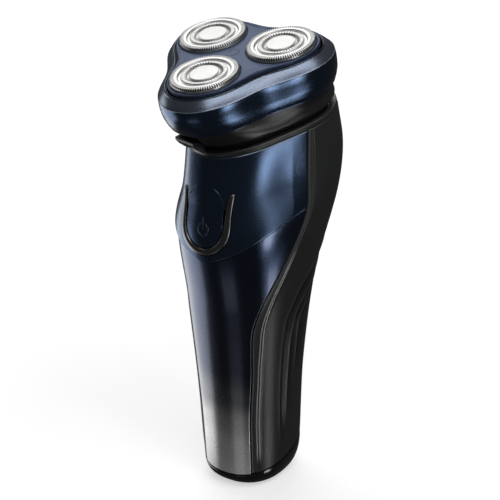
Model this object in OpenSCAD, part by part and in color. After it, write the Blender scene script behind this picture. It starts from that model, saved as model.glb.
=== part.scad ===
// Rotary electric shaver: waisted handle, tilted head with three floating guards,
// flip-open hair chamber, geared drive, push button and release tab.
// Millimetres. +Z is up, the origin is the centre of the flat base,
// the push button faces -Y.

/* [Handle] */
// Height of the cap's parting line above the table, on the centre line
cap_rise = 10; // [8:0.5:13]
// Length of the handle from the parting line to the neck
handle_len = 124; // [103:1:149]
// Half width of the handle at the parting line
base_half_w = 16.4; // [13.7:0.1:19.7]
// Half depth of the handle at the parting line
base_half_d = 18.5; // [16:0.1:22]
// Half width of the belly under the neck
belly_half_w = 26.6; // [24:0.1:31]
// Half depth of the belly under the neck
belly_half_d = 27.4; // [25:0.1:32]
// Backward set of the neck centre from the base centre
neck_back = 11.3; // [8:0.1:14]
// Backward tilt of every section plane, in degrees
tilt = 14; // [8:1:18]
// Wall of the handle shells
shell_wall = 1.8; // [1.4:0.1:2.2]
// Gap between neighbouring shells along a parting line
part_gap = 0.15; // [0.1:0.05:0.3]
// How far the upper cover stands proud of the lower panel
cover_step = 0.8; // [0.4:0.1:1.2]
// Half angle of the front panel on the grip, in degrees
panel_half_angle = 33; // [26:1:38]
// Half angle of the upper cover, in degrees
cover_half_angle = 80; // [72:1:86]

/* [Head] */
// Radius of a guard's rim
guard_r = 11.8; // [10:0.1:14.2]
// Space between two neighbouring guard rims
guard_gap = 4.8; // [4:0.1:6]
// Height of a guard's rim above the head plate
guard_proud = 1.4; // [1:0.1:2]
// Thickness of the head plate
plate_t = 1.6; // [1.2:0.1:2]
// Margin of the head plate outside a guard's hole
plate_margin = 1.0; // [0.8:0.1:1.6]
// Depth of the head frame below the guard rims
skirt_depth = 15.8; // [14:0.1:18]
// Depth of the hair chamber's underside below the guard rims
chamber_depth = 22.8; // [21:0.1:26]
// Depth of the neck under the guard rims
neck_depth = 28; // [27:0.1:31.2]
// Wall of the hair chamber
chamber_wall = 1.4; // [1:0.1:1.8]
// Inward travel of a floating guard
float_travel = 1.5; // [1:0.1:1.8]
// How far the head flips open, in degrees
flip_angle = 105; // [60:5:110]
// Number of slots in the outer track of a guard
outer_slots = 30; // [18:1:36]
// Number of slots in the inner track of a guard
inner_slots = 18; // [10:1:20]

/* [Drive] */
// Teeth of the central gear
wheel_teeth = 39; // [36:3:42]
// Teeth of a spindle gear
spindle_teeth = 15; // [14:1:16]
// Face width of the gears
gear_face = 2.2; // [1.6:0.1:2.6]
// Radius of a drive spindle
spindle_r = 1.5; // [1.2:0.1:1.8]
// Radius of the motor can
motor_r = 10; // [8.5:0.1:12]
// Length of the motor can
motor_len = 24; // [20:0.5:28.8]
// Radius of the battery cell
cell_r = 7.2; // [6:0.1:8.4]
// Length of the battery cell
cell_len = 50; // [41:0.5:52]

/* [Controls] */
// Half width of the push button
button_half_w = 7.6; // [6.5:0.1:9]
// Height of the push button's centre above the parting line, along the handle
button_rise = 97; // [84:0.5:106]
// Length of the push button
button_len = 21; // [18:0.5:23]
// Inward travel of the push button
button_travel = 0.8; // [0.5:0.1:1]
// Width of the trim around the push button
trim_w = 2.8; // [2:0.1:3.4]
// Width of the release tab
tab_w = 10.5; // [8:0.5:12.6]
// Turn of the release tab away from the front, in degrees
tab_turn = -12; // [-16:1:12]
// Inward travel of the release tab
tab_travel = 1.2; // [0.8:0.1:1.4]

/* [Charging] */
// Distance between the two inlet pins
pin_pitch = 8.6; // [7.6:0.1:9.6]
// Radius of an inlet pin
pin_r = 1.2; // [1:0.1:1.3]
// Depth of the inlet
inlet_depth = 9.5; // [8:0.5:11]

/* [Fits] */
// Radial running clearance of shafts and pins
run_fit = 0.05; // [0.03:0.01:0.08]
// Clearance between pieces that move past each other
clear = 0.35; // [0.3:0.05:0.5]
// Clearance between pieces that are seated together
seat = 0.1; // [0.05:0.05:0.15]

/* [Hidden] */

ring_n = 60;
neck_z = cap_rise + handle_len;
neck_q = 4.7;
neck_lobe = 2.6;

// ---- head frame of reference: origin on the axis in the plane of the guard rims ----
pitch_r = (2 * guard_r + guard_gap) / sqrt(3);
neck_margin = 9.9;
neck_r = pitch_r + neck_margin;
head_y = neck_back - neck_q * cos(tilt) - neck_depth * sin(tilt);
head_z = neck_z - neck_q * sin(tilt) + neck_depth * cos(tilt);
guard_angles = [-90, 30, 150];
module in_head() {
    translate([0, head_y, head_z]) rotate([tilt, 0, 0]) children();
}
module at_guard(k) {
    in_head() rotate([0, 0, guard_angles[k - 1]]) translate([pitch_r, 0, 0])
        rotate([0, 0, -guard_angles[k - 1]]) children();
}

// ---- handle skin: lobed super-ellipses in tilted planes, blended along the length ----
// share of the length, centre set-back, half width, half depth, lobe, exponent
stations = [
    [0, 0, base_half_w, base_half_d, 0, 2.35],
    [0.26, 0.124 * neck_back, base_half_w + 0.17 * (belly_half_w - base_half_w),
        base_half_d + 0.16 * (belly_half_d - base_half_d), 0.1, 2.35],
    [0.53, 0.336 * neck_back, base_half_w + 0.53 * (belly_half_w - base_half_w),
        base_half_d + 0.53 * (belly_half_d - base_half_d), 0.6, 2.35],
    [0.76, 0.673 * neck_back, belly_half_w + 0.4, belly_half_d + 1.2, 2, 2.25],
    [0.88, 0.885 * neck_back, belly_half_w + 0.3, belly_half_d, 3.6, 2.12],
    [1, neck_back, neck_r, neck_r, neck_lobe, 2]
];
last = len(stations) - 1;
function clampi(i) = max(0, min(last, i));
function slope(i, c) = (stations[clampi(i + 1)][c] - stations[clampi(i - 1)][c])
    / (stations[clampi(i + 1)][0] - stations[clampi(i - 1)][0]);
function segment(f, i = 0) = (i >= last - 1 || f < stations[i + 1][0]) ? i : segment(f, i + 1);
function hermite(t, w, p0, p1, m0, m1) =
    (2 * t * t * t - 3 * t * t + 1) * p0 + (t * t * t - 2 * t * t + t) * w * m0
    + (3 * t * t - 2 * t * t * t) * p1 + (t * t * t - t * t) * w * m1;
function blend(z, c) = let(
    f = (z - cap_rise) / handle_len, i = segment(f), w = stations[i + 1][0] - stations[i][0],
    t = (f - stations[i][0]) / w)
    hermite(t, w, stations[i][c], stations[i + 1][c], slope(i, c), slope(i + 1, c));
function skin_r(z, a, off) = let(n = blend(z, 5))
    1 / pow(pow(abs(cos(a)) / (blend(z, 2) + off), n) + pow(abs(sin(a)) / (blend(z, 3) + off), n), 1 / n)
    + blend(z, 4) * cos(3 * (a + 90));
function skin(z, a, off = 0) = let(r = skin_r(z, a, off))
    [r * cos(a), blend(z, 1) + r * sin(a) * cos(tilt), z + r * sin(a) * sin(tilt)];
function front_y(z, off = 0) = skin(z, -90, off)[1];

// ---- solids from rings and grids ----
function ring_faces(n, m, wrap) = [for (k = [0 : m - (wrap ? 1 : 2)], i = [0 : n - 1]) let(
    i2 = (i + 1) % n, k2 = (k + 1) % m) each [[k * n + i, k2 * n + i2, k * n + i2], [k * n + i, k2 * n + i, k2 * n + i2]]];
module stack(rings) {
    n = len(rings[0]);
    m = len(rings);
    polyhedron(points = [for (r = rings) each r], faces = concat(ring_faces(n, m, false),
        [[for (i = [0 : n - 1]) i]], [[for (i = [n - 1 : -1 : 0]) (m - 1) * n + i]]));
}
module tube(rings) {
    polyhedron(points = [for (r = rings) each r], faces = ring_faces(len(rings[0]), len(rings), true));
}
module patch(outer, inner) {
    nu = len(outer);
    m = len(outer[0]);
    h = nu * m;
    polyhedron(points = concat([for (r = outer) each r], [for (r = inner) each r]), faces = concat(
        [for (i = [0 : nu - 2], j = [0 : m - 2]) let(a = i * m + j) each
            [[a, a + m + 1, a + 1], [a, a + m, a + m + 1], [h + a, h + a + 1, h + a + m + 1], [h + a, h + a + m + 1, h + a + m]]],
        [for (j = [0 : m - 2]) let(t = (nu - 1) * m + j) each
            [[j, j + 1, h + j + 1], [j, h + j + 1, h + j], [t, h + t + 1, t + 1], [t, h + t, h + t + 1]]],
        [for (i = [0 : nu - 2]) let(a = i * m, e = i * m + m - 1) each
            [[a, h + a, h + a + m], [a, h + a + m, a + m], [e, h + e + m, h + e], [e, e + m, h + e + m]]]));
}
function skin_ring(z, off) = [for (i = [0 : ring_n - 1]) skin(z, 360 * i / ring_n, off)];
module handle_solid(z0, z1, off, steps = 8) {
    stack([for (k = [0 : steps]) skin_ring(z0 + (z1 - z0) * k / steps, off)]);
}

// ---- lobed outlines of the head, in its own frame ----
function lobed(r, lobe, q = 0, n = 72) = [for (i = [0 : n - 1]) let(a = 360 * i / n, s = r + lobe * cos(3 * (a + 90)))
    [s * cos(a), q + s * sin(a)]];
function lobed_ring(depth, r, lobe, q = 0) = [for (p = lobed(r, lobe, q)) [p[0], p[1], -depth]];
module lobed_slab(top, bottom, r, lobe, q = 0) {
    translate([0, 0, -bottom]) linear_extrude(bottom - top) polygon(lobed(r, lobe, q));
}
module rod(top, bottom, r) {
    translate([0, 0, -bottom]) cylinder(r = r, h = bottom - top, $fn = 48);
}

// Outline of the head plate: it follows the guards with a margin
hole_r = guard_r + 0.25;
plate_lobe_r = pitch_r + hole_r + plate_margin;
plate_lobe = 5.25;
plate_r = plate_lobe_r - plate_lobe;

// Parting lines between the front panel, the upper cover and the rear shell
seam_start = 0.45;
seam_end = 0.82;
function smooth(t) = let(s = max(0, min(1, t))) s * s * (3 - 2 * s);
function seam_angle(z) = panel_half_angle + (cover_half_angle - panel_half_angle)
    * smooth(((z - cap_rise) / handle_len - seam_start) / (seam_end - seam_start));
// Lowest point of the cover's edge under the button's centre, and its rise from there to the seams
button_z = cap_rise + button_rise;
cover_under = 9.2;
cover_sweep = 10.2;
function split_z(u) = button_z - cover_under + cover_sweep * pow(sin(90 * abs(u)), 1.3);
function gap_angle(z) = part_gap / blend(z, 2) * 180 / PI;
shell_bottom = cap_rise + part_gap;
// A point of the front at the share u across it, from -1 to 1
function front_point(z, u, off) = skin(z, -90 + u * (seam_angle(z) - gap_angle(z)), off);
function front_grid(rows, cols, lo, hi, off) = [for (i = [0 : rows]) [for (j = [0 : cols]) let(u = 2 * j / cols - 1)
    front_point((lo ? split_z(u) + part_gap : shell_bottom) * (1 - i / rows)
        + (hi ? split_z(u) - part_gap : neck_z) * i / rows, u, off)]];
function lower_grid(off) = front_grid(20, 16, false, true, off);
function cover_grid(lift) = let(rows = 10, cols = 30) [for (i = [0 : rows]) [for (j = [0 : cols]) let(
    u = 2 * j / cols - 1, z = (split_z(u) + part_gap) * (1 - i / rows) + neck_z * i / rows,
    edge = min(1, (1 - abs(u)) * 6)) front_point(z, u, lift * cover_step * edge * (1 - i / rows) - (1 - lift) * shell_wall)]];
function rear_grid(off) = let(rows = 26, cols = 36) [for (i = [0 : rows]) let(
    z = shell_bottom + (neck_z - shell_bottom) * i / rows, s = seam_angle(z) + gap_angle(z))
    [for (j = [0 : cols]) skin(z, -90 + s + (360 - 2 * s) * j / cols, off)]];

// Push button outline, seen from the front: two half rounds joined by straight sides
module button_outline(grow) {
    w = button_half_w + grow;
    low = button_len / 2 - button_half_w;
    union() {
        translate([0, -low]) circle(r = w, $fn = 48);
        translate([0, low]) circle(r = w, $fn = 48);
        translate([-w, -low]) square([2 * w, 2 * low]);
    }
}
module button_prism(grow, y0, y1) {
    translate([0, y1, button_z]) rotate([90, 0, 0]) linear_extrude(y1 - y0) button_outline(grow);
}
front_face = front_y(button_z, cover_step);

// ---------------------------------------------------------------- base
bottom_share = 0.62;
module base_cap() {
    wall = shell_wall;
    outer = [for (t = [0 : 15 : 90]) let(s = bottom_share + (1 - bottom_share) * sin(t), d = 1 - cos(t))
        [for (i = [0 : ring_n - 1]) let(p = skin(cap_rise, 360 * i / ring_n))
            [p[0] * s, p[1] * s, (p[2] - part_gap) * d]]];
    inner = [for (t = [90 : -30 : 0]) let(s = bottom_share + (1 - bottom_share) * sin(t), d = 1 - cos(t))
        [for (i = [0 : ring_n - 1]) let(p = skin(cap_rise, 360 * i / ring_n, -wall))
            [p[0] * s, p[1] * s, wall + (p[2] - part_gap - wall) * d]]];
    color("black") difference() {
        stack(concat(outer, inner));
        translate([0, 0, -1]) linear_extrude(wall + 2) inlet_outline(inlet_wall + seat);
    }
}

inlet_half_w = 3.6;
inlet_wall = 1.5;
module inlet_outline(grow) {
    r = inlet_half_w + grow;
    union() {
        for (s = [-1, 1]) translate([s * pin_pitch / 2, 0]) circle(r = r, $fn = 48);
        translate([-pin_pitch / 2, -r]) square([pin_pitch, 2 * r]);
    }
}
socket_top = inlet_depth + inlet_wall;
module charge_socket() {
    color("dimgray") difference() {
        translate([0, 0, 0.2]) linear_extrude(socket_top - 0.2) inlet_outline(inlet_wall);
        translate([0, 0, -1]) linear_extrude(inlet_depth + 1) inlet_outline(0);
        for (s = [-1, 1]) translate([s * pin_pitch / 2, 0, inlet_depth - 1]) cylinder(r = pin_r, h = 4, $fn = 32);
    }
}
module socket_pin(s) {
    color("silver") translate([s * pin_pitch / 2, 0, 2]) cylinder(r = pin_r, h = socket_top + 1.2 - 2, $fn = 32);
}
module socket_pin_left() { socket_pin(-1); }
module socket_pin_right() { socket_pin(1); }

// ---------------------------------------------------------------- shells
module rear_shell() {
    color([0.10, 0.10, 0.11]) patch(rear_grid(0), rear_grid(-shell_wall));
}
module lower_panel() {
    color([0.16, 0.18, 0.30]) patch(lower_grid(0), lower_grid(-shell_wall));
}
module upper_cover() {
    color([0.09, 0.10, 0.24]) difference() {
        patch(cover_grid(1), cover_grid(0));
        button_prism(clear, front_face - 10, front_face + 6);
    }
}
// U-shaped trim around the lower part of the push button
trim_lift = 0.12;
trim_t = 0.7;
trim_half_w = button_half_w + clear + seat + trim_w / 2;
trim_low = button_len / 2 - button_half_w;
trim_arm = 10.5;
trim_flare = 0.9;
function trim_path(s) = s < 0.25 ? [-trim_half_w - trim_flare * pow(1 - s * 4, 2), -trim_low + trim_arm * (1 - s * 4)]
    : s > 0.75 ? [trim_half_w + trim_flare * pow(s * 4 - 3, 2), -trim_low + trim_arm * (s * 4 - 3)]
    : let(a = 180 + (s - 0.25) * 360) [trim_half_w * cos(a), -trim_low + trim_half_w * sin(a)];
function trim_normal(s) = s < 0.25 ? [1, 0] : s > 0.75 ? [-1, 0] : let(a = 180 + (s - 0.25) * 360) [-cos(a), -sin(a)];
function cover_lift(z, u) = let(zs = split_z(u) + part_gap)
    cover_step * min(1, (1 - abs(u)) * 6) * (1 - (z - zs) / (neck_z - zs));
function on_cover(x, up, lift) = let(
    z = button_z + (up - (front_face - blend(button_z, 1)) * tan(tilt)) , r = skin_r(z, -90, cover_step),
    a = -90 + asin(x / r), u = (a + 90) / seam_angle(z))
    skin(z, a, cover_lift(z, u) + lift);
function trim_grid(lift) = let(n = 32, m = 3) [for (j = [0 : m]) [for (i = [0 : n]) let(
    s = i / n, p = trim_path(s), d = trim_normal(s), w = trim_w * (0.5 - j / m) * (s < 0.02 || s > 0.98 ? 0.5 : 1))
    on_cover(p[0] - d[0] * w, p[1] - d[1] * w, lift)]];
module button_trim() {
    color([0.30, 0.31, 0.34]) patch(trim_grid(trim_lift + trim_t), trim_grid(trim_lift));
}

// ---------------------------------------------------------------- neck and deck
ring_top = 26.1;
ring_bottom = neck_depth - 0.05;
ring_in = 2.4;
neck_ring_q = 4.5;
pivot_q = neck_q + neck_r - 4;
pivot_depth = (chamber_depth + ring_top) / 2;
knuckle_r = (ring_top - chamber_depth) / 2 - 0.3;
pivot_r = 0.7;
lug_x0 = 6;
lug_x1 = 10;
module across(x0, x1, r) {
    translate([x0, pivot_q, -pivot_depth]) rotate([0, 90, 0]) cylinder(r = r, h = x1 - x0, $fn = 40);
}
module neck_ring() {
    color([0.24, 0.25, 0.26]) in_head() difference() {
        union() {
            difference() {
                lobed_slab(ring_top, ring_bottom, neck_r - 0.3, neck_lobe + 0.2, neck_ring_q);
                lobed_slab(ring_top - 1, ring_bottom + 1, neck_r - 0.3 - ring_in, neck_lobe, neck_ring_q);
            }
            for (s = [-1, 1]) {
                x0 = s > 0 ? lug_x0 : -lug_x1;
                across(x0, x0 + lug_x1 - lug_x0, knuckle_r);
                translate([x0, pivot_q - knuckle_r, -ring_top - 0.5])
                    cube([lug_x1 - lug_x0, 2 * knuckle_r - 0.3, ring_top + 0.5 - pivot_depth]);
            }
        }
        across(-lug_x1 - 1, lug_x1 + 1, pivot_r + 0.02);
        tab_slot(tab_guide_w + 2 * clear, ring_top - 1, ring_top + 0.35);
    }
}
module hinge_pin() {
    color("silver") in_head() across(-lug_x1 + 0.1, lug_x1 - 0.1, pivot_r);
}

deck_top = chamber_depth + 0.35;
deck_wall = 1.4;
deck_r = neck_r - 3.4;
deck_flange = neck_depth + 0.7;
gear_top = deck_flange + 0.3;
gear_bottom = gear_top + gear_face;
gear_plate_top = gear_bottom + 0.4;
gear_plate_t = 1.5;
gear_plate_bottom = gear_plate_top + gear_plate_t;
screw_circle = pitch_r - 1.4;
screw_r = 0.8;
screw_head_r = 1.6;
screw_head_h = 0.8;
post_r = 1.7;
screw_angles = [-30, 90, 210];
deck_back = pivot_q - knuckle_r - 0.8;
module at_screw(k) {
    rotate([0, 0, screw_angles[k - 1]]) translate([screw_circle, 0, 0]) children();
}
module tab_slot(w, top, bottom) {
    rotate([0, 0, tab_turn]) translate([-w / 2, -neck_r - 8, -bottom]) cube([w, neck_r + 8 - tab_reach + clear, bottom - top]);
}
module top_deck() {
    color([0.13, 0.13, 0.14]) in_head() difference() {
        union() {
            difference() {
                union() {
                    lobed_slab(deck_top, neck_depth + 0.1, deck_r, neck_lobe, neck_ring_q);
                    lobed_slab(neck_depth, deck_flange, neck_r - shell_wall - 0.35, neck_lobe, neck_q);
                }
                lobed_slab(deck_top + deck_wall, deck_flange + 1, deck_r - deck_wall, neck_lobe, neck_ring_q);
            }
            for (k = [1 : 3]) {
                rotate([0, 0, guard_angles[k - 1]]) translate([pitch_r, 0, 0]) rod(deck_top + 0.5, deck_flange, spindle_r + 1.4);
                at_screw(k) rod(deck_top + 0.5, gear_plate_top - seat / 2, post_r);
            }
        }
        for (k = [1 : 3]) {
            rotate([0, 0, guard_angles[k - 1]]) translate([pitch_r, 0, 0]) rod(deck_top - 1, deck_flange + 1, spindle_r + run_fit);
            at_screw(k) {
                rod(deck_top - 1, gear_plate_top + 1, screw_r + run_fit);
                rod(deck_top - 1, deck_top + screw_head_h + 0.1, screw_head_r + seat);
            }
        }
        translate([-neck_r, deck_back, -neck_depth + 0.1]) cube([2 * neck_r, 20, 20]);
        tab_slot(tab_guide_w + 2 * clear, tab_bar_top - clear, tab_bar_bottom + clear);
    }
}
module deck_screw(k) {
    color("silver") in_head() at_screw(k) difference() {
        union() {
            rod(deck_top + 0.05, deck_top + 0.05 + screw_head_h, screw_head_r);
            rod(deck_top + 0.05, gear_plate_bottom - 0.1, screw_r);
        }
        for (a = [0, 90]) rotate([0, 0, a]) translate([-1.1, -0.2, -deck_top - 0.45]) cube([2.2, 0.4, 1]);
    }
}
module deck_screw_1() { deck_screw(1); }
module deck_screw_2() { deck_screw(2); }
module deck_screw_3() { deck_screw(3); }
module gear_plate() {
    color("gainsboro") in_head() difference() {
        lobed_slab(gear_plate_top, gear_plate_bottom, neck_r - shell_wall - 1.2, neck_lobe + 0.2, neck_q - 0.9);
        rod(gear_plate_top - 1, gear_plate_bottom + 1, motor_boss_r + seat);
        for (k = [1 : 3]) {
            rotate([0, 0, guard_angles[k - 1]]) translate([pitch_r, 0, 0]) rod(gear_plate_top - 1, gear_plate_bottom + 1, journal_r + run_fit);
            at_screw(k) rod(gear_plate_top - 1, gear_plate_bottom + 1, screw_r + run_fit);
        }
    }
}

// ---------------------------------------------------------------- motor and gears
shaft_r = 1;
journal_r = 1;
motor_boss_r = 3;
motor_top = gear_plate_bottom + seat / 2;
motor_bottom = motor_top + motor_len;
module motor_can() {
    color("silver") in_head() difference() {
        union() {
            rod(motor_top, motor_bottom, motor_r);
            rod(gear_plate_top + 0.1, motor_bottom, motor_boss_r);
            rod(motor_bottom - 1, motor_bottom + 1.4, motor_boss_r);
        }
        rod(motor_top + 1.2, motor_bottom - 1.2, motor_r - 1);
        rod(gear_plate_top - 1, motor_bottom + 3, shaft_r + run_fit);
    }
}
module motor_rotor() {
    color([0.55, 0.35, 0.2]) in_head() {
        rod(gear_top - 0.2, motor_bottom + 2, shaft_r);
        rod(motor_top + 2.2, motor_bottom - 2.2, motor_r - 2.6);
    }
}
gear_module = 2 * pitch_r / (wheel_teeth + spindle_teeth);
tooth_share = 0.44;
// Outline of a gear: involute flanks between the root and the tip
function involute(rb, r) = let(c = min(1, rb / r)) tan(acos(c)) * 180 / PI - acos(c);
function tooth(n, m) = let(rp = n * m / 2, rb = rp * cos(20), half = 360 / n * tooth_share / 2, ip = involute(rb, rp),
    rr = rp - 1.2 * m, rt = rp + 0.9 * m)
    concat([for (t = [0 : 0.25 : 1]) let(r = rr + (rt - rr) * t) [r, -half + involute(rb, max(r, rb)) - ip]],
        [for (t = [1 : -0.25 : 0]) let(r = rr + (rt - rr) * t) [r, half - involute(rb, max(r, rb)) + ip]]);
function gear_points(n, m) = let(t = tooth(n, m)) [for (k = [0 : n - 1], p = t) let(a = 360 * k / n + p[1]) [p[0] * cos(a), p[0] * sin(a)]];
module gear(n, turn, hole) {
    rotate([0, 0, turn]) linear_extrude(gear_face) difference() {
        polygon(gear_points(n, gear_module));
        if (hole > 0) circle(r = hole, $fn = 48);
    }
}
module drive_gear() {
    color("ivory") in_head() translate([0, 0, -gear_bottom]) difference() {
        gear(wheel_teeth, -90, shaft_r + 0.02);
        for (a = [30 : 60 : 330]) rotate([0, 0, a]) translate([6.6, 0, -1]) cylinder(r = 2, h = gear_face + 2, $fn = 32);
    }
}
spindle_tip = chamber_depth - 4.8;
tip_r = 1.2;
module spindle_gear(k) {
    a = guard_angles[k - 1];
    color("ivory") at_guard(k) {
        translate([0, 0, -gear_bottom]) gear(spindle_teeth, a + 180 + 180 / spindle_teeth, 0);
        rod(spindle_tip + 2.6, gear_top + 0.1, spindle_r);
        rod(spindle_tip, gear_top, tip_r);
        rod(gear_bottom - 0.1, gear_plate_bottom - 0.1, journal_r);
    }
}
module spindle_gear_1() { spindle_gear(1); }
module spindle_gear_2() { spindle_gear(2); }
module spindle_gear_3() { spindle_gear(3); }

// ---------------------------------------------------------------- chassis, cell and board
chassis_y = -3;
chassis_t = 1.5;
cell_y = chassis_y + cell_r + 0.6;
cell_z = socket_top + 9;
tray_t = 1.5;
board_t = 1.2;
board_half_w = 9.5;
board_y = chassis_y - chassis_t - board_t - 0.05;
switch_h = 3.2;
board_top = button_z + 5;
function inner_half_w(z) = blend(z, 2) - shell_wall;
chassis_top = button_z - 6;
module chassis() {
    z0 = socket_top + 0.1;
    color([0.75, 0.76, 0.74]) difference() {
        union() {
            translate([-board_half_w - 1, chassis_y - chassis_t, z0]) cube([2 * board_half_w + 2, chassis_t, chassis_top - z0]);
            translate([-7, chassis_y - chassis_t, z0]) cube([14, 8, 2]);
            for (z = [cell_z - tray_t - 0.1, cell_z + cell_len + 0.1])
                translate([-cell_r, chassis_y - 0.1, z]) cube([2 * cell_r, 2 * cell_r + 0.6, tray_t]);
            for (z = [cell_z + 6, cell_z + cell_len - 8], s = [-1, 1]) let(w = inner_half_w(z) - 0.9) {
                translate([s > 0 ? board_half_w : -w, chassis_y - chassis_t, z]) cube([w - board_half_w, chassis_t, 4]);
            }
        }
        for (s = [-1, 1]) translate([s * pin_pitch / 2, 0, z0 - 1]) cylinder(r = pin_r + 0.4, h = 4, $fn = 32);
    }
}
module battery() {
    color([0.25, 0.45, 0.3]) translate([0, cell_y, cell_z]) {
        cylinder(r = cell_r, h = cell_len - 1.2, $fn = 64);
        cylinder(r = 2.7, h = cell_len, $fn = 40);
    }
}
module circuit_board() {
    z0 = socket_top + 2;
    color([0.10, 0.35, 0.2]) {
        translate([-board_half_w, board_y, z0]) cube([2 * board_half_w, board_t, board_top - z0]);
        for (z = [z0 + 8, z0 + 24, z0 + 44, z0 + 58]) translate([-4, board_y - 1.6, z]) cube([8, 1.7, 5]);
    }
}
module tact_switch() {
    color([0.2, 0.2, 0.2]) {
        translate([-3, board_y - switch_h, button_z - 3]) cube([6, switch_h - 0.05, 6]);
        translate([0, board_y - switch_h + 0.1, button_z]) rotate([90, 0, 0]) cylinder(r = 1.7, h = 0.7, $fn = 32);
    }
}

// ---------------------------------------------------------------- push button and release tab
module power_button() {
    tip_y = board_y - switch_h - 0.6 - button_travel - 0.25;
    color([0.09, 0.10, 0.24]) {
        intersection() {
            difference() {
                handle_solid(button_z - button_len, neck_z - 1, cover_step * 0.6, 10);
                handle_solid(button_z - button_len - 4, neck_z - 0.5, cover_step * 0.6 - 2.4, 10);
            }
            button_prism(0, front_face - 6, front_face + 5);
        }
        translate([0, tip_y, button_z]) rotate([90, 0, 0]) cylinder(r = 2, h = tip_y - front_face - 1.6, $fn = 32);
    }
}

tab_reach = 19;
tab_guide_w = 6;
tab_bar_top = deck_top + deck_wall + clear;
tab_bar_bottom = ring_top - 0.05;
tab_front = 23.6;
tab_lip = 28;
tab_top = 20.6;
module release_tab() {
    color([0.16, 0.16, 0.17]) in_head() rotate([0, 0, tab_turn]) {
        translate([-tab_guide_w / 2, -tab_front - 0.5, -tab_bar_bottom])
            cube([tab_guide_w, tab_front + 0.5 - tab_reach - tab_travel - clear, tab_bar_bottom - tab_bar_top]);
        intersection() {
            translate([-tab_w / 2, 0, 0]) rotate([90, 0, 90]) linear_extrude(tab_w) polygon([
                [-tab_front, -tab_bar_bottom], [-tab_front - 1.2, -tab_bar_bottom], [-tab_lip, -tab_top - 1.2],
                [-tab_lip + 0.3, -tab_top], [-tab_front, -tab_top - 0.4]]);
            translate([0, 0, -neck_depth]) cylinder(r = tab_lip, h = 12, $fn = 96);
        }
    }
}

// ---------------------------------------------------------------- head
frame_top = guard_proud + 1.1;
ledge_top = guard_proud + plate_t;
ledge_t = 1.4;
// the ledge carries the plate at its three waists and leaves the guards' flanges free
ledge_r = plate_r - 0.05;
ledge_lobe = plate_lobe + 0.65;
frame_r = plate_r + 4.7;
frame_lobe = 5.05;
skirt_q = 0.6;
module head_frame() {
    color([0.10, 0.13, 0.30]) in_head() tube([
        lobed_ring(skirt_depth, frame_r - 1.5, 4.5, skirt_q),
        lobed_ring(skirt_depth - 2.2, frame_r - 0.8, 4.7, 0.4),
        lobed_ring(skirt_depth - 4.8, frame_r - 0.2, 4.9, 0.2),
        lobed_ring(frame_top + 5.5, frame_r + 0.1, frame_lobe, 0),
        lobed_ring(frame_top + 3.1, frame_r - 0.2, frame_lobe, 0),
        lobed_ring(frame_top + 2.1, frame_r - 0.8, frame_lobe, 0),
        lobed_ring(frame_top + 0.4, frame_r - 2.7, frame_lobe, 0),
        lobed_ring(frame_top, frame_r - 3.3, frame_lobe - 0.05, 0),
        lobed_ring(ledge_top, frame_r - 3.7, frame_lobe - 0.05, 0),
        lobed_ring(ledge_top, ledge_r, ledge_lobe, 0),
        lobed_ring(ledge_top + ledge_t, ledge_r, ledge_lobe, 0),
        lobed_ring(ledge_top + ledge_t + 0.4, frame_r - 2.3, frame_lobe - 0.15, 0),
        lobed_ring(frame_top + 6, frame_r - 1.9, frame_lobe - 0.15, 0),
        lobed_ring(skirt_depth - 3, frame_r - 2.1, 4.6, 0.4),
        lobed_ring(skirt_depth, frame_r - 2.4, 4.4, skirt_q)
    ]);
}
module head_plate() {
    color([0.31, 0.37, 0.48]) in_head() difference() {
        lobed_slab(guard_proud, ledge_top - 0.02, plate_r, plate_lobe);
        for (a = guard_angles) rotate([0, 0, a]) translate([pitch_r, 0, 0]) rod(0, ledge_top + 1, hole_r);
        translate([0, 0, -guard_proud - 0.4]) cylinder(r = 2.6, h = 1, $fn = 48);
    }
}
chamber_floor = chamber_wall;
module hair_chamber() {
    color([0.11, 0.11, 0.12]) in_head() difference() {
        union() {
            stack([
                lobed_ring(chamber_depth, neck_r + 0.4, 2.55, 3.65),
                lobed_ring((chamber_depth + skirt_depth) / 2, neck_r + 0.25, 3.3, 2.2),
                lobed_ring(skirt_depth + 0.1, frame_r - 3.05, 4.1, 0.9),
                lobed_ring(skirt_depth - 1.5, frame_r - 3.05, 4.2, 0.5),
                lobed_ring(skirt_depth - 1.5, frame_r - 3.05 - chamber_wall, 4.2, 0.5),
                lobed_ring(skirt_depth + 0.1, frame_r - 3.05 - chamber_wall, 4.1, 0.9),
                lobed_ring((chamber_depth + skirt_depth) / 2, neck_r + 0.1 - chamber_wall, 3.3, 2.2),
                lobed_ring(chamber_depth - chamber_floor, neck_r + 0.2 - chamber_wall, 2.55, 3.65)
            ]);
            rotate([0, 0, tab_turn]) translate([-tab_w / 2 - 3, -tab_front - 0.6, -chamber_depth + 0.3])
                cube([tab_w + 6, 4.2, chamber_depth - skirt_depth - 0.6]);
            across(-lug_x0 + clear, lug_x0 - clear, knuckle_r);
            translate([-lug_x0 + clear, pivot_q - knuckle_r, -pivot_depth])
                cube([2 * (lug_x0 - clear), 1.8 * knuckle_r, pivot_depth - chamber_depth + 0.6]);
        }
        across(-lug_x0, lug_x0, pivot_r + run_fit);
        for (a = guard_angles) rotate([0, 0, a]) translate([pitch_r, 0, 0]) rod(chamber_depth - 3, chamber_depth + 1, hub_r + 0.6);
        rotate([0, 0, tab_turn]) translate([-tab_w / 2 - 1.2, -tab_front - 8, -chamber_depth - 1])
            cube([tab_w + 2.4, 8 + tab_travel + 0.8, chamber_depth + 1 - tab_top + 2.2]);
    }
}
retainer_top = 10.8;
retainer_t = 1.4;
knob_r = 7;
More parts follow.
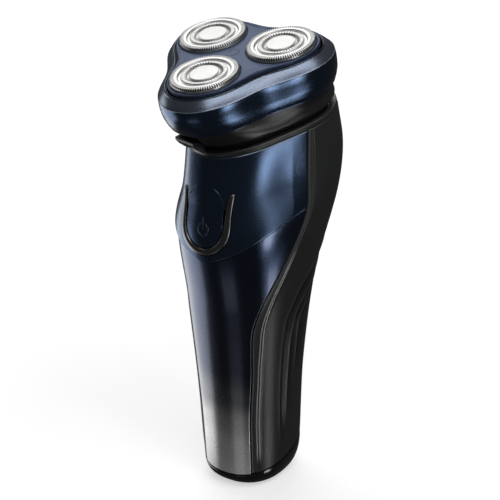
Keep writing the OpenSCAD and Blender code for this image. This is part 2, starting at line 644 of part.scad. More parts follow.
module retainer() {
    color([0.75, 0.77, 0.8]) in_head() difference() {
        union() {
            lobed_slab(retainer_top, retainer_top + retainer_t, frame_r - 2.5, 4.6, 0.3);
            for (a = guard_angles) rotate([0, 0, a]) translate([pitch_r, 0, 0]) rod(retainer_top - 1.2, retainer_top + retainer_t + 0.8, hub_r + 1.6);
        }
        for (a = guard_angles) rotate([0, 0, a]) {
            translate([pitch_r, 0, 0]) rod(retainer_top - 3, retainer_top + retainer_t + 3, hub_r + run_fit);
            rotate([0, 0, 60]) translate([pitch_r - 5, 0, 0]) rod(retainer_top - 1, retainer_top + retainer_t + 1, 2.6);
        }
        rod(retainer_top - 1, retainer_top + retainer_t + 1, 1.5 + run_fit);
    }
}
module lock_knob() {
    low = retainer_top + retainer_t;
    color([0.2, 0.2, 0.22]) in_head() {
        rod(retainer_top - 0.9, low + 0.5, 1.5);
        rod(retainer_top - 0.9, retainer_top - 0.1, 2.4);
        rod(low + 0.1, low + 1.3, knob_r);
        translate([-knob_r + 0.6, -0.8, -low - 3.2]) cube([2 * knob_r - 1.2, 1.6, 2]);
    }
}

// ---------------------------------------------------------------- guards and cutters
foil_t = 0.5;
flange_r = hole_r + 0.45;
cap_disc_r = 5.05;
track_in = guard_r - 2.9;
groove_in = guard_r - 3.9;
inner_in = cap_disc_r + 0.55;
rim_bottom = ledge_top + 0.1;
module guard(k) {
    color([0.72, 0.73, 0.72]) at_guard(k) difference() {
        rotate_extrude($fn = 96) polygon([
            [0, -0.62], [inner_in, -0.62], [inner_in + 0.1, -0.1], [groove_in - 0.1, -0.1], [groove_in, -0.75],
            [track_in, -0.75], [track_in + 0.15, -0.1], [track_in + 0.4, 0], [guard_r - 0.5, 0], [guard_r - 0.1, -0.15],
            [guard_r, -0.5], [guard_r, -rim_bottom], [flange_r, -rim_bottom], [flange_r, -rim_bottom - 0.8],
            [guard_r - 0.7, -rim_bottom - 0.8], [guard_r - 0.7, -foil_t], [track_in + 0.3, -foil_t],
            [track_in + 0.1, -1.15], [groove_in - 0.2, -1.15], [groove_in - 0.35, -foil_t - 0.1],
            [inner_in + 0.4, -foil_t - 0.1], [inner_in + 0.2, -1.15], [0, -1.15]]);
        for (i = [0 : outer_slots - 1]) rotate([0, 0, 360 * i / outer_slots])
            translate([track_in + 0.5, -0.2, -1]) cube([guard_r - 0.9 - track_in - 0.5, 0.4, 2]);
        for (i = [0 : inner_slots - 1]) rotate([0, 0, 360 * i / inner_slots])
            translate([inner_in + 0.5, -0.2, -1]) cube([groove_in - inner_in - 1, 0.4, 2]);
    }
}
module guard_1() { guard(1); }
module guard_2() { guard(2); }
module guard_3() { guard(3); }
module guard_cap(k) {
    color([0.85, 0.86, 0.85]) at_guard(k) rotate_extrude($fn = 64)
        polygon([[0, -0.6], [cap_disc_r, -0.6], [cap_disc_r, -0.3], [cap_disc_r - 0.3, -0.08], [0, -0.02]]);
}
module guard_cap_1() { guard_cap(1); }
module guard_cap_2() { guard_cap(2); }
module guard_cap_3() { guard_cap(3); }

blade_top = foil_t + 0.4;
disc_top = 2.4;
disc_bottom = disc_top + 0.9;
hub_r = 2.9;
blades = 9;
module cutter(k) {
    color([0.6, 0.62, 0.63]) at_guard(k) {
        difference() {
            rod(disc_top, disc_bottom, guard_r - 1.2);
            for (i = [0 : 5]) rotate([0, 0, 60 * i]) translate([5.6, 0, 0]) rod(disc_top - 1, disc_bottom + 1, 1.4);
        }
        rod(1.6, disc_top + 0.1, 2.2);
        for (i = [0 : blades - 1]) rotate([0, 0, 360 * i / blades]) {
            translate([track_in + 0.5, -0.4, -disc_top - 0.1]) cube([guard_r - 1.3 - track_in - 0.5, 0.8, disc_top + 0.1 - blade_top]);
            translate([inner_in + 0.6, -0.4, -disc_top - 0.1]) cube([groove_in - inner_in - 1.2, 0.8, disc_top - blade_top]);
        }
    }
}
module cutter_1() { cutter(1); }
module cutter_2() { cutter(2); }
module cutter_3() { cutter(3); }
hub_bottom = spindle_tip + 2.5;
socket_r = tip_r + 1;
module drive_hub(k) {
    color([0.9, 0.9, 0.88]) at_guard(k) difference() {
        rod(disc_bottom + 0.02, hub_bottom, hub_r);
        rod(spindle_tip - float_travel - 0.5, hub_bottom + 1, socket_r);
    }
}
module drive_hub_1() { drive_hub(1); }
module drive_hub_2() { drive_hub(2); }
module drive_hub_3() { drive_hub(3); }

base_cap();
charge_socket();
socket_pin_left();
socket_pin_right();
rear_shell();
lower_panel();
upper_cover();
button_trim();
neck_ring();
top_deck();
gear_plate();
motor_can();
chassis();
battery();
circuit_board();
tact_switch();
hinge_pin();
deck_screw_1();
deck_screw_2();
deck_screw_3();
motor_rotor();
drive_gear();
spindle_gear_1();
spindle_gear_2();
spindle_gear_3();
power_button();
release_tab();
head_frame();
head_plate();
hair_chamber();
retainer();
lock_knob();
guard_1();
guard_2();
guard_3();
guard_cap_1();
guard_cap_2();
guard_cap_3();
cutter_1();
cutter_2();
cutter_3();
drive_hub_1();
drive_hub_2();
drive_hub_3();
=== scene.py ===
"""Looks of the rotary shaver: skins, collar, head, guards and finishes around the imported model.

Every shape is worked out in millimetres as an array of points on a grid and is put in
place in metres, with its object at the origin. The handle's skin is a lobed super-ellipse
in planes that lean back by TILT; the head has its own frame, with its origin on the axis in
the plane of the guard rims, x to the right, q to the back and depth downwards."""
import math

import bpy
import numpy as np
from mathutils import Matrix, Vector


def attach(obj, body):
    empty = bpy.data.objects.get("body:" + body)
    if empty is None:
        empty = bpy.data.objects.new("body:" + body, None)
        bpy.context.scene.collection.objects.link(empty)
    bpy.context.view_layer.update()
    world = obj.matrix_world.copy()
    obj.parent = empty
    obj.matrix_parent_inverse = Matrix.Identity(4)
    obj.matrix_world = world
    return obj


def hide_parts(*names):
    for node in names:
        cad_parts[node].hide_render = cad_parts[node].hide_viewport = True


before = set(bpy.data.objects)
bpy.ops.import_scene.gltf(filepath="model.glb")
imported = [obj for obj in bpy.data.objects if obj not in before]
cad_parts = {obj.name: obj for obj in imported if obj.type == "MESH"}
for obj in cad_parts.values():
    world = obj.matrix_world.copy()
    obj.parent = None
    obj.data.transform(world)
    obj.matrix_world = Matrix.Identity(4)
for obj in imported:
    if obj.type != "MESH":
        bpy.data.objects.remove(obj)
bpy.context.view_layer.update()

# ------------------------------------------------------------------ sizes, as in the part's source
TILT = math.radians(14)
CAP_RISE, HANDLE_LEN, NECK_BACK, NECK_Q, NECK_R, NECK_LOBE = 10.0, 124.0, 11.3, 4.7, 26.297, 2.6
NECK_Z = CAP_RISE + HANDLE_LEN
NECK_DEPTH, CHAMBER_DEPTH = 28.0, 22.8
WALL, PART_GAP, COVER_STEP = 1.8, 0.15, 0.8
GUARD_R, GUARD_GAP, GUARD_PROUD = 11.8, 4.8, 1.4
PITCH_R = (2 * GUARD_R + GUARD_GAP) / math.sqrt(3)
HEAD_Y = NECK_BACK - NECK_Q * math.cos(TILT) - NECK_DEPTH * math.sin(TILT)
HEAD_Z = NECK_Z - NECK_Q * math.sin(TILT) + NECK_DEPTH * math.cos(TILT)
GUARD_ANGLES = (-90.0, 30.0, 150.0)
BUTTON_Z, BUTTON_HALF_W, BUTTON_LOW = 107.0, 7.6, 2.9
PLATE_R, PLATE_LOBE = 24.197, 5.25
HOLE_FIT = 0.25
HUB_R = 2.9
BASE_W, BASE_D, BELLY_W, BELLY_D = 16.4, 18.5, 26.6, 27.4
SEAM_NARROW, SEAM_GROWTH = 33, 47
SPLIT_DROP, SPLIT_SWEEP = 9.2, 10.2
TAB_TURN, NOTCH_HALF, NOTCH_TOP, NOTCH_WALL = -12, 6.45, 18.4, -21.6
INLET_PITCH, INLET_R = 4.3, 5.2
SIGN_R, SIGN_GAP, SIGN_DROP, SIGN_LINE = 2.25, 32, 4.3, 0.16
SLOTS, SLOT_SINK = 90, 0.42
MM, SHARP = 0.001, 35.0
# share of the length, set-back, half width, half depth, lobe, exponent
STATIONS = np.array([
    [0, 0, BASE_W, BASE_D, 0, 2.35],
    [0.26, 0.124 * NECK_BACK, BASE_W + 0.17 * (BELLY_W - BASE_W), BASE_D + 0.16 * (BELLY_D - BASE_D), 0.1,
    2.35],
    [0.53, 0.336 * NECK_BACK, BASE_W + 0.53 * (BELLY_W - BASE_W), BASE_D + 0.53 * (BELLY_D - BASE_D), 0.6,
    2.35],
    [0.76, 0.673 * NECK_BACK, BELLY_W + 0.4, BELLY_D + 1.2, 2.0, 2.25],
    [0.88, 0.885 * NECK_BACK, BELLY_W + 0.3, BELLY_D, 3.6, 2.12],
    [1, NECK_BACK, NECK_R, NECK_R, NECK_LOBE, 2.0]])


# ------------------------------------------------------------------ surfaces of the object
def cosd(a):
    """Cosine of an angle in degrees."""
    return np.cos(np.radians(a))


def sind(a):
    """Sine of an angle in degrees."""
    return np.sin(np.radians(a))


def blend(z, column):
    """A station value at height z: cubic Hermite between stations, with central-difference slopes."""
    x, y = STATIONS[:, 0], STATIONS[:, column]
    n = len(x)
    lo, hi = np.maximum(np.arange(n) - 1, 0), np.minimum(np.arange(n) + 1, n - 1)
    m = (y[hi] - y[lo]) / (x[hi] - x[lo])
    f = (np.asarray(z, float) - CAP_RISE) / HANDLE_LEN
    i = np.clip(np.searchsorted(x, f, "right") - 1, 0, n - 2)
    w = x[i + 1] - x[i]
    t = (f - x[i]) / w
    return ((2 * t**3 - 3 * t**2 + 1) * y[i] + (t**3 - 2 * t**2 + t) * w * m[i]
            + (3 * t**2 - 2 * t**3) * y[i + 1] + (t**3 - t**2) * w * m[i + 1])


def skin_r(z, a, off=0.0):
    """Radius of the skin in direction a (degrees): a super-ellipse grown by off, plus a three-lobed wave."""
    n = blend(z, 5)
    c, s = np.abs(cosd(a)), np.abs(sind(a))
    oval = 1 / ((c / (blend(z, 2) + off)) ** n + (s / (blend(z, 3) + off)) ** n) ** (1 / n)
    return oval + blend(z, 4) * cosd(3 * (a + 90))


def skin(z, a, off=0.0):
    """Point of the skin: radius along direction a, in a plane that leans back by TILT."""
    z, a, off = np.broadcast_arrays(np.asarray(z, float), a, off)
    r, t = skin_r(z, a, off), np.radians(a)
    return np.stack([r * np.cos(t), blend(z, 1) + r * np.sin(t) * math.cos(TILT),
                     z + r * np.sin(t) * math.sin(TILT)], -1)


def smooth(t):
    """0 to 1 with level ends."""
    t = np.clip(t, 0, 1)
    return t * t * (3 - 2 * t)


def seam_angle(z):
    """Half angle of the front panel and cover, which widens from the grip to the belly."""
    f = (z - CAP_RISE) / HANDLE_LEN
    return SEAM_NARROW + SEAM_GROWTH * (0.062 * smooth((f - 0.15) / 0.2) + 0.938 * smooth((f - 0.44) / 0.38))


def split_z(u):
    """Height of the parting line between lower panel and cover at the share u across the front."""
    return BUTTON_Z - SPLIT_DROP + SPLIT_SWEEP * sind(90 * np.abs(u)) ** 1.3


def gap_angle(z):
    """Parting gap in degrees."""
    return np.degrees(PART_GAP / blend(z, 2))


def front_point(z, u, off):
    """Point of the front at height z and share u across it, from -1 to 1."""
    return skin(z, -90 + u * (seam_angle(z) - gap_angle(z)), off)


def cover_lift(z, u):
    """How far the cover stands proud: most at its lower edge, nothing at the neck and the side seams."""
    zs = split_z(u) + PART_GAP
    return COVER_STEP * np.clip((1 - np.abs(u)) * 6, 0, 1) * (1 - (z - zs) / (NECK_Z - zs))


FRONT_FACE = float(skin(BUTTON_Z, -90, COVER_STEP)[1])


def cover_place(x, up):
    """Height and angle on the cover of a point of the front view, x across and up from the button's centre."""
    x, up = np.broadcast_arrays(np.asarray(x, float), np.asarray(up, float))
    z = BUTTON_Z + up - (FRONT_FACE - blend(BUTTON_Z, 1)) * math.tan(TILT)
    r = skin_r(z, -90 + 0 * z, COVER_STEP)
    return z, -90 + np.degrees(np.arcsin(np.clip(x / r, -1, 1)))


def on_cover(x, up, lift=0.0):
    """Point on the cover's outer face, raised by lift."""
    z, a = cover_place(x, up)
    return skin(z, a, cover_lift(z, (a + 90) / seam_angle(z)) + lift)


def head(x, q, depth):
    """Point of the head's own frame brought to the part's frame: a turn about x by TILT."""
    x, q, depth = np.broadcast_arrays(np.asarray(x, float), q, depth)
    return np.stack([x, HEAD_Y + q * math.cos(TILT) + depth * math.sin(TILT),
                     HEAD_Z + q * math.sin(TILT) - depth * math.cos(TILT)], -1)


def lobed(a, r, lobe, q=0.0):
    """Outline of the head: s = r + lobe cos 3(a + 90), as points (x, q)."""
    s = r + lobe * cosd(3 * (a + 90))
    return np.stack([s * cosd(a), q + s * sind(a)], -1)


def rolled(d, r):
    """Fall of a rounded edge of radius r at the distance d from it."""
    return -r * (1 - np.sqrt(np.clip(1 - (1 - np.clip(d / r, 0, 1)) ** 2, 0, 1)))


def line_curve(x, xs, ys):
    """A smooth curve through chosen points: cubic Hermite with slopes that never overshoot."""
    xs, ys = np.asarray(xs, float), np.asarray(ys, float)
    h = np.diff(xs)
    d = np.diff(ys) / h
    m = np.concatenate([[d[0]], np.where(d[:-1] * d[1:] > 0, 2 * d[:-1] * d[1:] / (d[:-1] + d[1:] + 1e-12), 0),
            [d[-1]]])
    i = np.clip(np.searchsorted(xs, x, "right") - 1, 0, len(h) - 1)
    t = np.clip((x - xs[i]) / h[i], 0, 1)
    return ((2 * t**3 - 3 * t**2 + 1) * ys[i] + (t**3 - 2 * t**2 + t) * h[i] * m[i]
            + (3 * t**2 - 2 * t**3) * ys[i + 1] + (t**3 - t**2) * h[i] * m[i + 1])


# ------------------------------------------------------------------ grids into meshes
def grid_faces(rows, cols, wrap_cols=False, wrap_rows=False):
    """Quads of a grid of points, row by row; either direction can close on itself."""
    r, c = np.meshgrid(np.arange(rows if wrap_rows else rows - 1), np.arange(cols if wrap_cols else cols - 1),
            indexing="ij")
    r2, c2 = (r + 1) % rows, (c + 1) % cols
    return np.stack([r * cols + c, r * cols + c2, r2 * cols + c2, r2 * cols + c], -1).reshape(-1, 4)


def welded(points, faces, spots, keys):
    """Points that fall together to 0.0005 mm become one; faces that lose a corner become triangles or go."""
    _, first, back = np.unique(np.round(points / 0.0005).astype(np.int64), axis=0, return_index=True,
            return_inverse=True)
    back, out, kept = back.ravel(), [], []
    for f, spot in zip(faces, spots):
        f = back[f]
        n = f.shape[1]
        same = np.stack([f[:, i] == f[:, (i + 1) % n] for i in range(n)], -1)
        lost = same.sum(1)
        out.append(f[lost == 0])
        kept.append(spot)
        if n == 4:
            one = f[lost == 1]
            order = (same[lost == 1].argmax(1)[:, None] + np.array([1, 2, 3])) % 4
            out.append(np.take_along_axis(one, order, 1))
            kept.append(spot)
    return points[first], out, kept, {k: v[first] for k, v in keys.items()}


def make_piece(name, points, faces, body, stands_for=(), materials=(), marks=None, spots=None,
               weld=False):
    """One closed mesh from points in millimetres and lists of quads or triangles.
    marks holds values per point for the materials; spots gives the material of each list of faces."""
    marks = dict(marks or {})
    spots = list(spots or [0] * len(faces))
    if weld:
        points, faces, spots, marks = welded(points, faces, spots, marks)
    spots = [s for f, s in zip(faces, spots) if len(f)]
    faces = [f for f in faces if len(f)]
    index = np.concatenate([np.full(len(f), s) for f, s in zip(faces, spots)])
    corners = np.concatenate([f.ravel() for f in faces])
    sizes = np.concatenate([np.full(len(f), f.shape[1]) for f in faces])
    starts = np.concatenate([[0], np.cumsum(sizes)[:-1]])
    volume = 0.0
    for f in faces:
        for k in range(1, f.shape[1] - 1):
            a, b, c = points[f[:, 0]], points[f[:, k]], points[f[:, k + 1]]
            volume += np.einsum("ij,ij->", a, np.cross(b, c))
    if volume < 0:
        corners = np.concatenate([f[:, ::-1].ravel() for f in faces])
    mesh = bpy.data.meshes.new(name)
    mesh.vertices.add(len(points))
    mesh.vertices.foreach_set("co", (points * MM).astype(np.float32).ravel())
    mesh.loops.add(len(corners))
    mesh.loops.foreach_set("vertex_index", corners.astype(np.int32))
    mesh.polygons.add(len(sizes))
    mesh.polygons.foreach_set("loop_start", starts.astype(np.int32))
    for m in materials:
        mesh.materials.append(m)
    mesh.polygons.foreach_set("material_index", index.astype(np.int32))
    mesh.update(calc_edges=True)
    for key, values in marks.items():
        layer = mesh.attributes.new(key, "FLOAT", "POINT")
        layer.data.foreach_set("value", np.asarray(values, np.float32))
    mesh.validate()
    mesh.shade_smooth()
    mesh.set_sharp_from_angle(angle=math.radians(SHARP))
    piece = bpy.data.objects.new(name, mesh)
    bpy.context.scene.collection.objects.link(piece)
    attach(piece, body)
    if stands_for:
        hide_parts(*stands_for)
    return piece


def shell_patch(outer, inner):
    """A curved plate: the outer grid, the inner grid and the strips that join their four borders."""
    rows, cols = outer.shape[:2]
    h = rows * cols
    f = grid_faces(rows, cols)
    n = np.arange(h).reshape(rows, cols)
    rim = np.concatenate([n[0, :-1], n[:-1, -1], n[-1, :0:-1], n[:0:-1, 0]])
    nxt = np.roll(rim, -1)
    return (np.concatenate([outer.reshape(-1, 3), inner.reshape(-1, 3)]),
            [f, f[:, ::-1] + h, np.stack([nxt, rim, rim + h, nxt + h], -1)])


def end_caps(rows, n):
    """Two fans that close a tube of rows rings with n points each; their tips are the next two points."""
    i, last = np.arange(n), (rows - 1) * n
    nxt = (i + 1) % n
    return [np.stack([nxt, i, np.full(n, rows * n)], -1),
            np.stack([last + i, last + nxt, np.full(n, rows * n + 1)], -1)]


def dense_ends(n, fine, total):
    """Shares from 0 to 1 with extra steps within the distance fine of both ends."""
    edge = np.array([0, 0.04, 0.14, 0.3, 0.5, 0.75, 1.0]) * fine / total
    return np.concatenate([edge, np.linspace(edge[-1], 1 - edge[-1], n)[1:-1], (1 - edge)[::-1]])


# ------------------------------------------------------------------ shared effects for the finishes
def effect(name, inputs, outputs):
    """An empty node group with named inputs (name, kind, value) and outputs (name, kind)."""
    g = bpy.data.node_groups.new(name, "ShaderNodeTree")
    for label, kind, value in inputs:
        s = g.interface.new_socket(name=label, in_out="INPUT", socket_type="NodeSocket" + kind)
        s.default_value = value
    for label, kind in outputs:
        g.interface.new_socket(name=label, in_out="OUTPUT", socket_type="NodeSocket" + kind)
    return g, g.nodes.new("NodeGroupInput"), g.nodes.new("NodeGroupOutput")


def feed(tree, socket, value):
    """Links a socket to the input, or sets the input to a number or colour."""
    if isinstance(value, bpy.types.NodeSocket):
        tree.links.new(value, socket)
    else:
        socket.default_value = value


def calc(tree, kind, a, b, clamp=False):
    """A Math node; a and b are sockets or numbers."""
    n = tree.nodes.new("ShaderNodeMath")
    n.operation, n.use_clamp = kind, clamp
    feed(tree, n.inputs[0], a)
    feed(tree, n.inputs[1], b)
    return n.outputs[0]


def mix(tree, share, a, b):
    """A colour Mix node; share, a and b are sockets or values."""
    n = tree.nodes.new("ShaderNodeMix")
    n.data_type = "RGBA"
    for place, value in zip((0, 6, 7), (share, a, b)):
        feed(tree, n.inputs[place], (*value[:3], 1) if isinstance(value, (tuple, list)) else value)
    return n.outputs[2]


def noise(tree, vector, scale, detail=2.0, rough=0.5):
    """A Noise texture on the given coordinates; its value socket."""
    n = tree.nodes.new("ShaderNodeTexNoise")
    n.inputs["Detail"].default_value, n.inputs["Roughness"].default_value = detail, rough
    tree.links.new(vector, n.inputs["Vector"])
    feed(tree, n.inputs["Scale"], scale)
    return n.outputs["Fac"]


def grain_effect():
    """Moulded grain: two sizes of noise, as a height in metres times Depth."""
    g, gi, go = effect("Moulded grain", [("Vector", "Vector", (0, 0, 0)), ("Scale", "Float", 6000.0),
            ("Depth", "Float", 1.0)],
                       [("Height", "Float")])
    a = noise(g, gi.outputs["Vector"], gi.outputs["Scale"], 2.0)
    b = noise(g, gi.outputs["Vector"], calc(g, "MULTIPLY", gi.outputs["Scale"], 0.23), 3.0)
    both = calc(g, "ADD", a, calc(g, "MULTIPLY", b, 0.6))
    g.links.new(calc(g, "MULTIPLY", both, gi.outputs["Depth"]), go.inputs["Height"])
    return g


def handling_effect():
    """Gloss that varies with handling: broad smudges and fine wipe marks added to a base roughness."""
    g, gi, go = effect("Handled gloss", [("Vector", "Vector", (0, 0, 0)), ("Base", "Float", 0.3),
            ("Spread", "Float", 0.06)],
                       [("Roughness", "Float")])
    broad = noise(g, gi.outputs["Vector"], 70.0, 4.0, 0.6)
    fine = noise(g, gi.outputs["Vector"], 900.0, 2.0)
    both = calc(g, "ADD", calc(g, "MULTIPLY", broad, 1.4),
                     calc(g, "MULTIPLY", fine, 0.6))
    swing = calc(g, "MULTIPLY", calc(g, "SUBTRACT", both, 1.0), gi.outputs["Spread"])
    g.links.new(calc(g, "ADD", gi.outputs["Base"], swing, True), go.inputs["Roughness"])
    return g


def flake_effect():
    """Metal flake in paint: every tiny cell has its own brightness and tips the surface a little."""
    g, gi, go = effect("Metal flake", [("Vector", "Vector", (0, 0, 0)), ("Colour", "Color", (1, 1, 1, 1)),
                                       ("Scale", "Float", 5200.0), ("Amount", "Float", 0.3)],
                       [("Colour", "Color"), ("Height", "Float")])
    cells = g.nodes.new("ShaderNodeTexVoronoi")
    g.links.new(gi.outputs["Vector"], cells.inputs["Vector"])
    g.links.new(gi.outputs["Scale"], cells.inputs["Scale"])
    split = g.nodes.new("ShaderNodeSeparateColor")
    g.links.new(cells.outputs["Color"], split.inputs[0])
    lit = calc(g, "SUBTRACT", split.outputs[0], 0.5)
    gain = calc(g, "ADD", calc(g, "MULTIPLY", lit, gi.outputs["Amount"]), 1.0)
    scale = g.nodes.new("ShaderNodeVectorMath")
    scale.operation = "SCALE"
    g.links.new(gi.outputs["Colour"], scale.inputs[0])
    g.links.new(gain, scale.inputs["Scale"])
    g.links.new(scale.outputs[0], go.inputs["Colour"])
    g.links.new(split.outputs[1], go.inputs["Height"])
    return g


GRAIN, HANDLED, FLAKE = grain_effect(), handling_effect(), flake_effect()


def use(tree, group, **values):
    """Places a shared effect with its own values or links."""
    n = tree.nodes.new("ShaderNodeGroup")
    n.node_tree = group
    for key, value in values.items():
        feed(tree, n.inputs[key], value)
    return n


def finish(name, colour, metallic=0.0, rough=0.4, spread=0.05, coat=0.0, coat_rough=0.06,
        grain=(6000.0, 0.00001),
           flake=None, paint=None, specular=0.5):
    """A finish: base colour (or what paint returns), handled gloss, fine grain and an optional clear coat."""
    m = bpy.data.materials.new(name)
    m.use_nodes = True
    tree = m.node_tree
    shader = tree.nodes["Principled BSDF"]
    place = tree.nodes.new("ShaderNodeTexCoord").outputs["Object"]
    for key, value in (("Metallic", metallic), ("Specular IOR Level", specular), ("Coat Weight", coat),
                       ("Coat Roughness", coat_rough)):
        shader.inputs[key].default_value = value
    base = paint(tree, place, shader) if paint else (*colour, 1)
    height = None
    if flake:
        f = use(tree, FLAKE, Vector=place, Colour=base, Scale=flake[0], Amount=flake[1])
        base, height = f.outputs["Colour"], calc(tree, "MULTIPLY", f.outputs["Height"], flake[2])
    elif not isinstance(base, bpy.types.NodeSocket):
        tone = noise(tree, place, 130.0, 3.0)
        base = mix(tree, calc(tree, "MULTIPLY", tone, 0.5), base, [c * 0.82 for c in colour])
    tree.links.new(base, shader.inputs["Base Color"])
    h = use(tree, HANDLED, Vector=place, Base=rough, Spread=spread)
    tree.links.new(h.outputs["Roughness"], shader.inputs["Roughness"])
    g = use(tree, GRAIN, Vector=place, Scale=grain[0], Depth=grain[1])
    height = g.outputs["Height"] if height is None else calc(tree, "ADD", height, g.outputs["Height"])
    bump = tree.nodes.new("ShaderNodeBump")
    bump.inputs["Distance"].default_value = 1.0
    tree.links.new(height, bump.inputs["Height"])
    tree.links.new(bump.outputs["Normal"], shader.inputs["Normal"])
    return m


NAVY = (0.055, 0.088, 0.155)


def mark(tree, name):
    """A value stored on the points of the mesh."""
    n = tree.nodes.new("ShaderNodeAttribute")
    n.attribute_name = name
    return n.outputs["Fac"]


def panel_paint(tree, place, shader):
    """Fades from navy on the belly to silver at the foot, by height, with the fade's edge a little uneven."""
    z = tree.nodes.new("ShaderNodeSeparateXYZ")
    tree.links.new(place, z.inputs[0])
    wave = calc(tree, "MULTIPLY", noise(tree, place, 60.0, 2.0), 0.004)
    high = tree.nodes.new("ShaderNodeMapRange")
    tree.links.new(calc(tree, "ADD", z.outputs["Z"], wave), high.inputs["Value"])
    high.inputs["From Min"].default_value, high.inputs["From Max"].default_value = 0.008, 0.10
    ramp = tree.nodes.new("ShaderNodeValToRGB")
    ramp.color_ramp.interpolation = "EASE"
    stops = ((0.0, 0.80, 0.80, 0.80), (0.13, 0.68, 0.68, 0.68), (0.22, 0.46, 0.46, 0.47),
             (0.33, 0.15, 0.155, 0.17), (0.46, 0.060, 0.070, 0.105), (1.0, 0.045, 0.062, 0.11))
    points = ramp.color_ramp.elements
    for stop in stops[1:-1]:
        points.new(stop[0])
    for point, stop in zip(points, stops):
        point.position, point.color = stop[0], (*stop[1:], 1)
    tree.links.new(high.outputs[0], ramp.inputs[0])
    tree.links.new(calc(tree, "ADD", calc(tree, "MULTIPLY", high.outputs[0], 2.2), 0.12, True),
            shader.inputs["Metallic"])
    return ramp.outputs[0]


def grip_paint(tree, place, shader):
    """Dark grip, with painted light: the bevelled band beside the seam drawn lighter as if lit, a painted
    highlight on each terrace crest and painted shade in the hollow behind it, and two raised lines painted near
    white.
    """
    tone = noise(tree, place, 160.0, 3.0)
    base = mix(tree, tone, (0.034, 0.035, 0.036), (0.046, 0.048, 0.049))
    # painted light: the seam's bevelled band drawn lighter as if it faced the lamps
    base = mix(tree, mark(tree, "lit_band"), base, (0.062, 0.065, 0.066))
    # painted shade in the terrace hollows, painted highlight on their crests
    base = mix(tree, mark(tree, "hollow"), base, (0.009, 0.009, 0.010))
    base = mix(tree, mark(tree, "crest_highlight"), base, (0.085, 0.088, 0.090))
    line = mark(tree, "bright_line")
    tree.links.new(calc(tree, "MULTIPLY", line, 0.25), shader.inputs["Metallic"])
    return mix(tree, line, base, (0.88, 0.88, 0.87))


def steel_paint(tree, place, shader):
    """Bright steel with a cloudy rolled tone; the sunk slots are painted dark inside as shade."""
    tone = noise(tree, place, 1400.0, 4.0, 0.65)
    base = mix(tree, tone, (0.66, 0.66, 0.65), (0.86, 0.86, 0.85))
    return mix(tree, mark(tree, "slot_shade"), base, (0.035, 0.035, 0.037))


def cap_paint(tree, place, shader):
    """Pale pressed disc with soft clouds and fine turned rings."""
    rings = noise(tree, mark_vector(tree, "radius", 3.2), 1.0, 1.0)
    tone = noise(tree, place, 500.0, 3.0, 0.6)
    base = mix(tree, tone, (0.74, 0.74, 0.73), (0.92, 0.92, 0.91))
    return mix(tree, calc(tree, "MULTIPLY", rings, 0.35), base, (0.62, 0.62, 0.61))


def mark_vector(tree, name, gain):
    """A stored value as a coordinate, so that a pattern runs along it."""
    n = tree.nodes.new("ShaderNodeCombineXYZ")
    tree.links.new(calc(tree, "MULTIPLY", mark(tree, name), gain), n.inputs[0])
    return n.outputs[0]


def button_paint(tree, place, shader):
    """The cover's navy, with the engraved power sign filled in pale blue grey."""
    return mix(tree, mark(tree, "sign"), NAVY, (0.16, 0.19, 0.25))


def navy_edge_highlight_paint(tree, place, shader):
    """Navy lacquer with a painted highlight: pale and less metallic where the rim mark is set, on rolled and
    crisp edges and the head's bevel.
    """
    rim = mark(tree, "rim")
    tree.links.new(calc(tree, "SUBTRACT", 0.95, calc(tree, "MULTIPLY", rim, 0.75)), shader.inputs["Metallic"])
    return mix(tree, rim, NAVY, (0.62, 0.66, 0.74))


FLAKES = (5200.0, 0.35, 0.0000012)


def lacquer(name, rough, coat, coat_rough, paint):
    """Flaked navy lacquer under a thin clear coat."""
    return finish(name, NAVY, 0.95, rough, 0.03, coat, coat_rough, (9000.0, 0.0000015), FLAKES, paint)


# both lacquers carry the painted edge highlight of the rim mark
COVER_NAVY = lacquer("cover_navy_lacquer_edge_highlight", 0.27, 0.15, 0.2, navy_edge_highlight_paint)
HEAD_NAVY = lacquer("head_navy_lacquer_edge_highlight", 0.27, 0.15, 0.2, navy_edge_highlight_paint)
BUTTON_NAVY = lacquer("button_navy_lacquer", 0.27, 0.15, 0.2, button_paint)
PANEL_FADE = lacquer("panel_fading_lacquer", 0.28, 0.3, 0.12, panel_paint)
PLATE_SLATE = finish("plate_slate_satin", (0.062, 0.092, 0.17), 0.55, 0.42, 0.05, 0.0, 0.2, (5200.0, 0.000004),
        (4200.0, 0.25, 0.000001))
GRIP = finish("grip_soft_satin", (0.035, 0.036, 0.037), 0.0, 0.38, 0.06, 0.0, 0.2, (4200.0, 0.000012),
        paint=grip_paint)
COLLAR = finish("collar_dark_satin", (0.034, 0.035, 0.036), 0.0, 0.33, 0.05, grain=(5200.0, 0.000008))
GLOSS_BLACK = finish("foot_gloss_black", (0.010, 0.010, 0.011), 0.0, 0.16, 0.04, 0.4, 0.04, (7000.0, 0.000002))
GUNMETAL = finish("trim_gunmetal", (0.20, 0.20, 0.20), 1.0, 0.30, 0.03, grain=(9000.0, 0.0000006))
RING_GREY = finish("neck_ring_grey", (0.075, 0.078, 0.080), 0.35, 0.36, 0.05, grain=(5200.0, 0.000008))
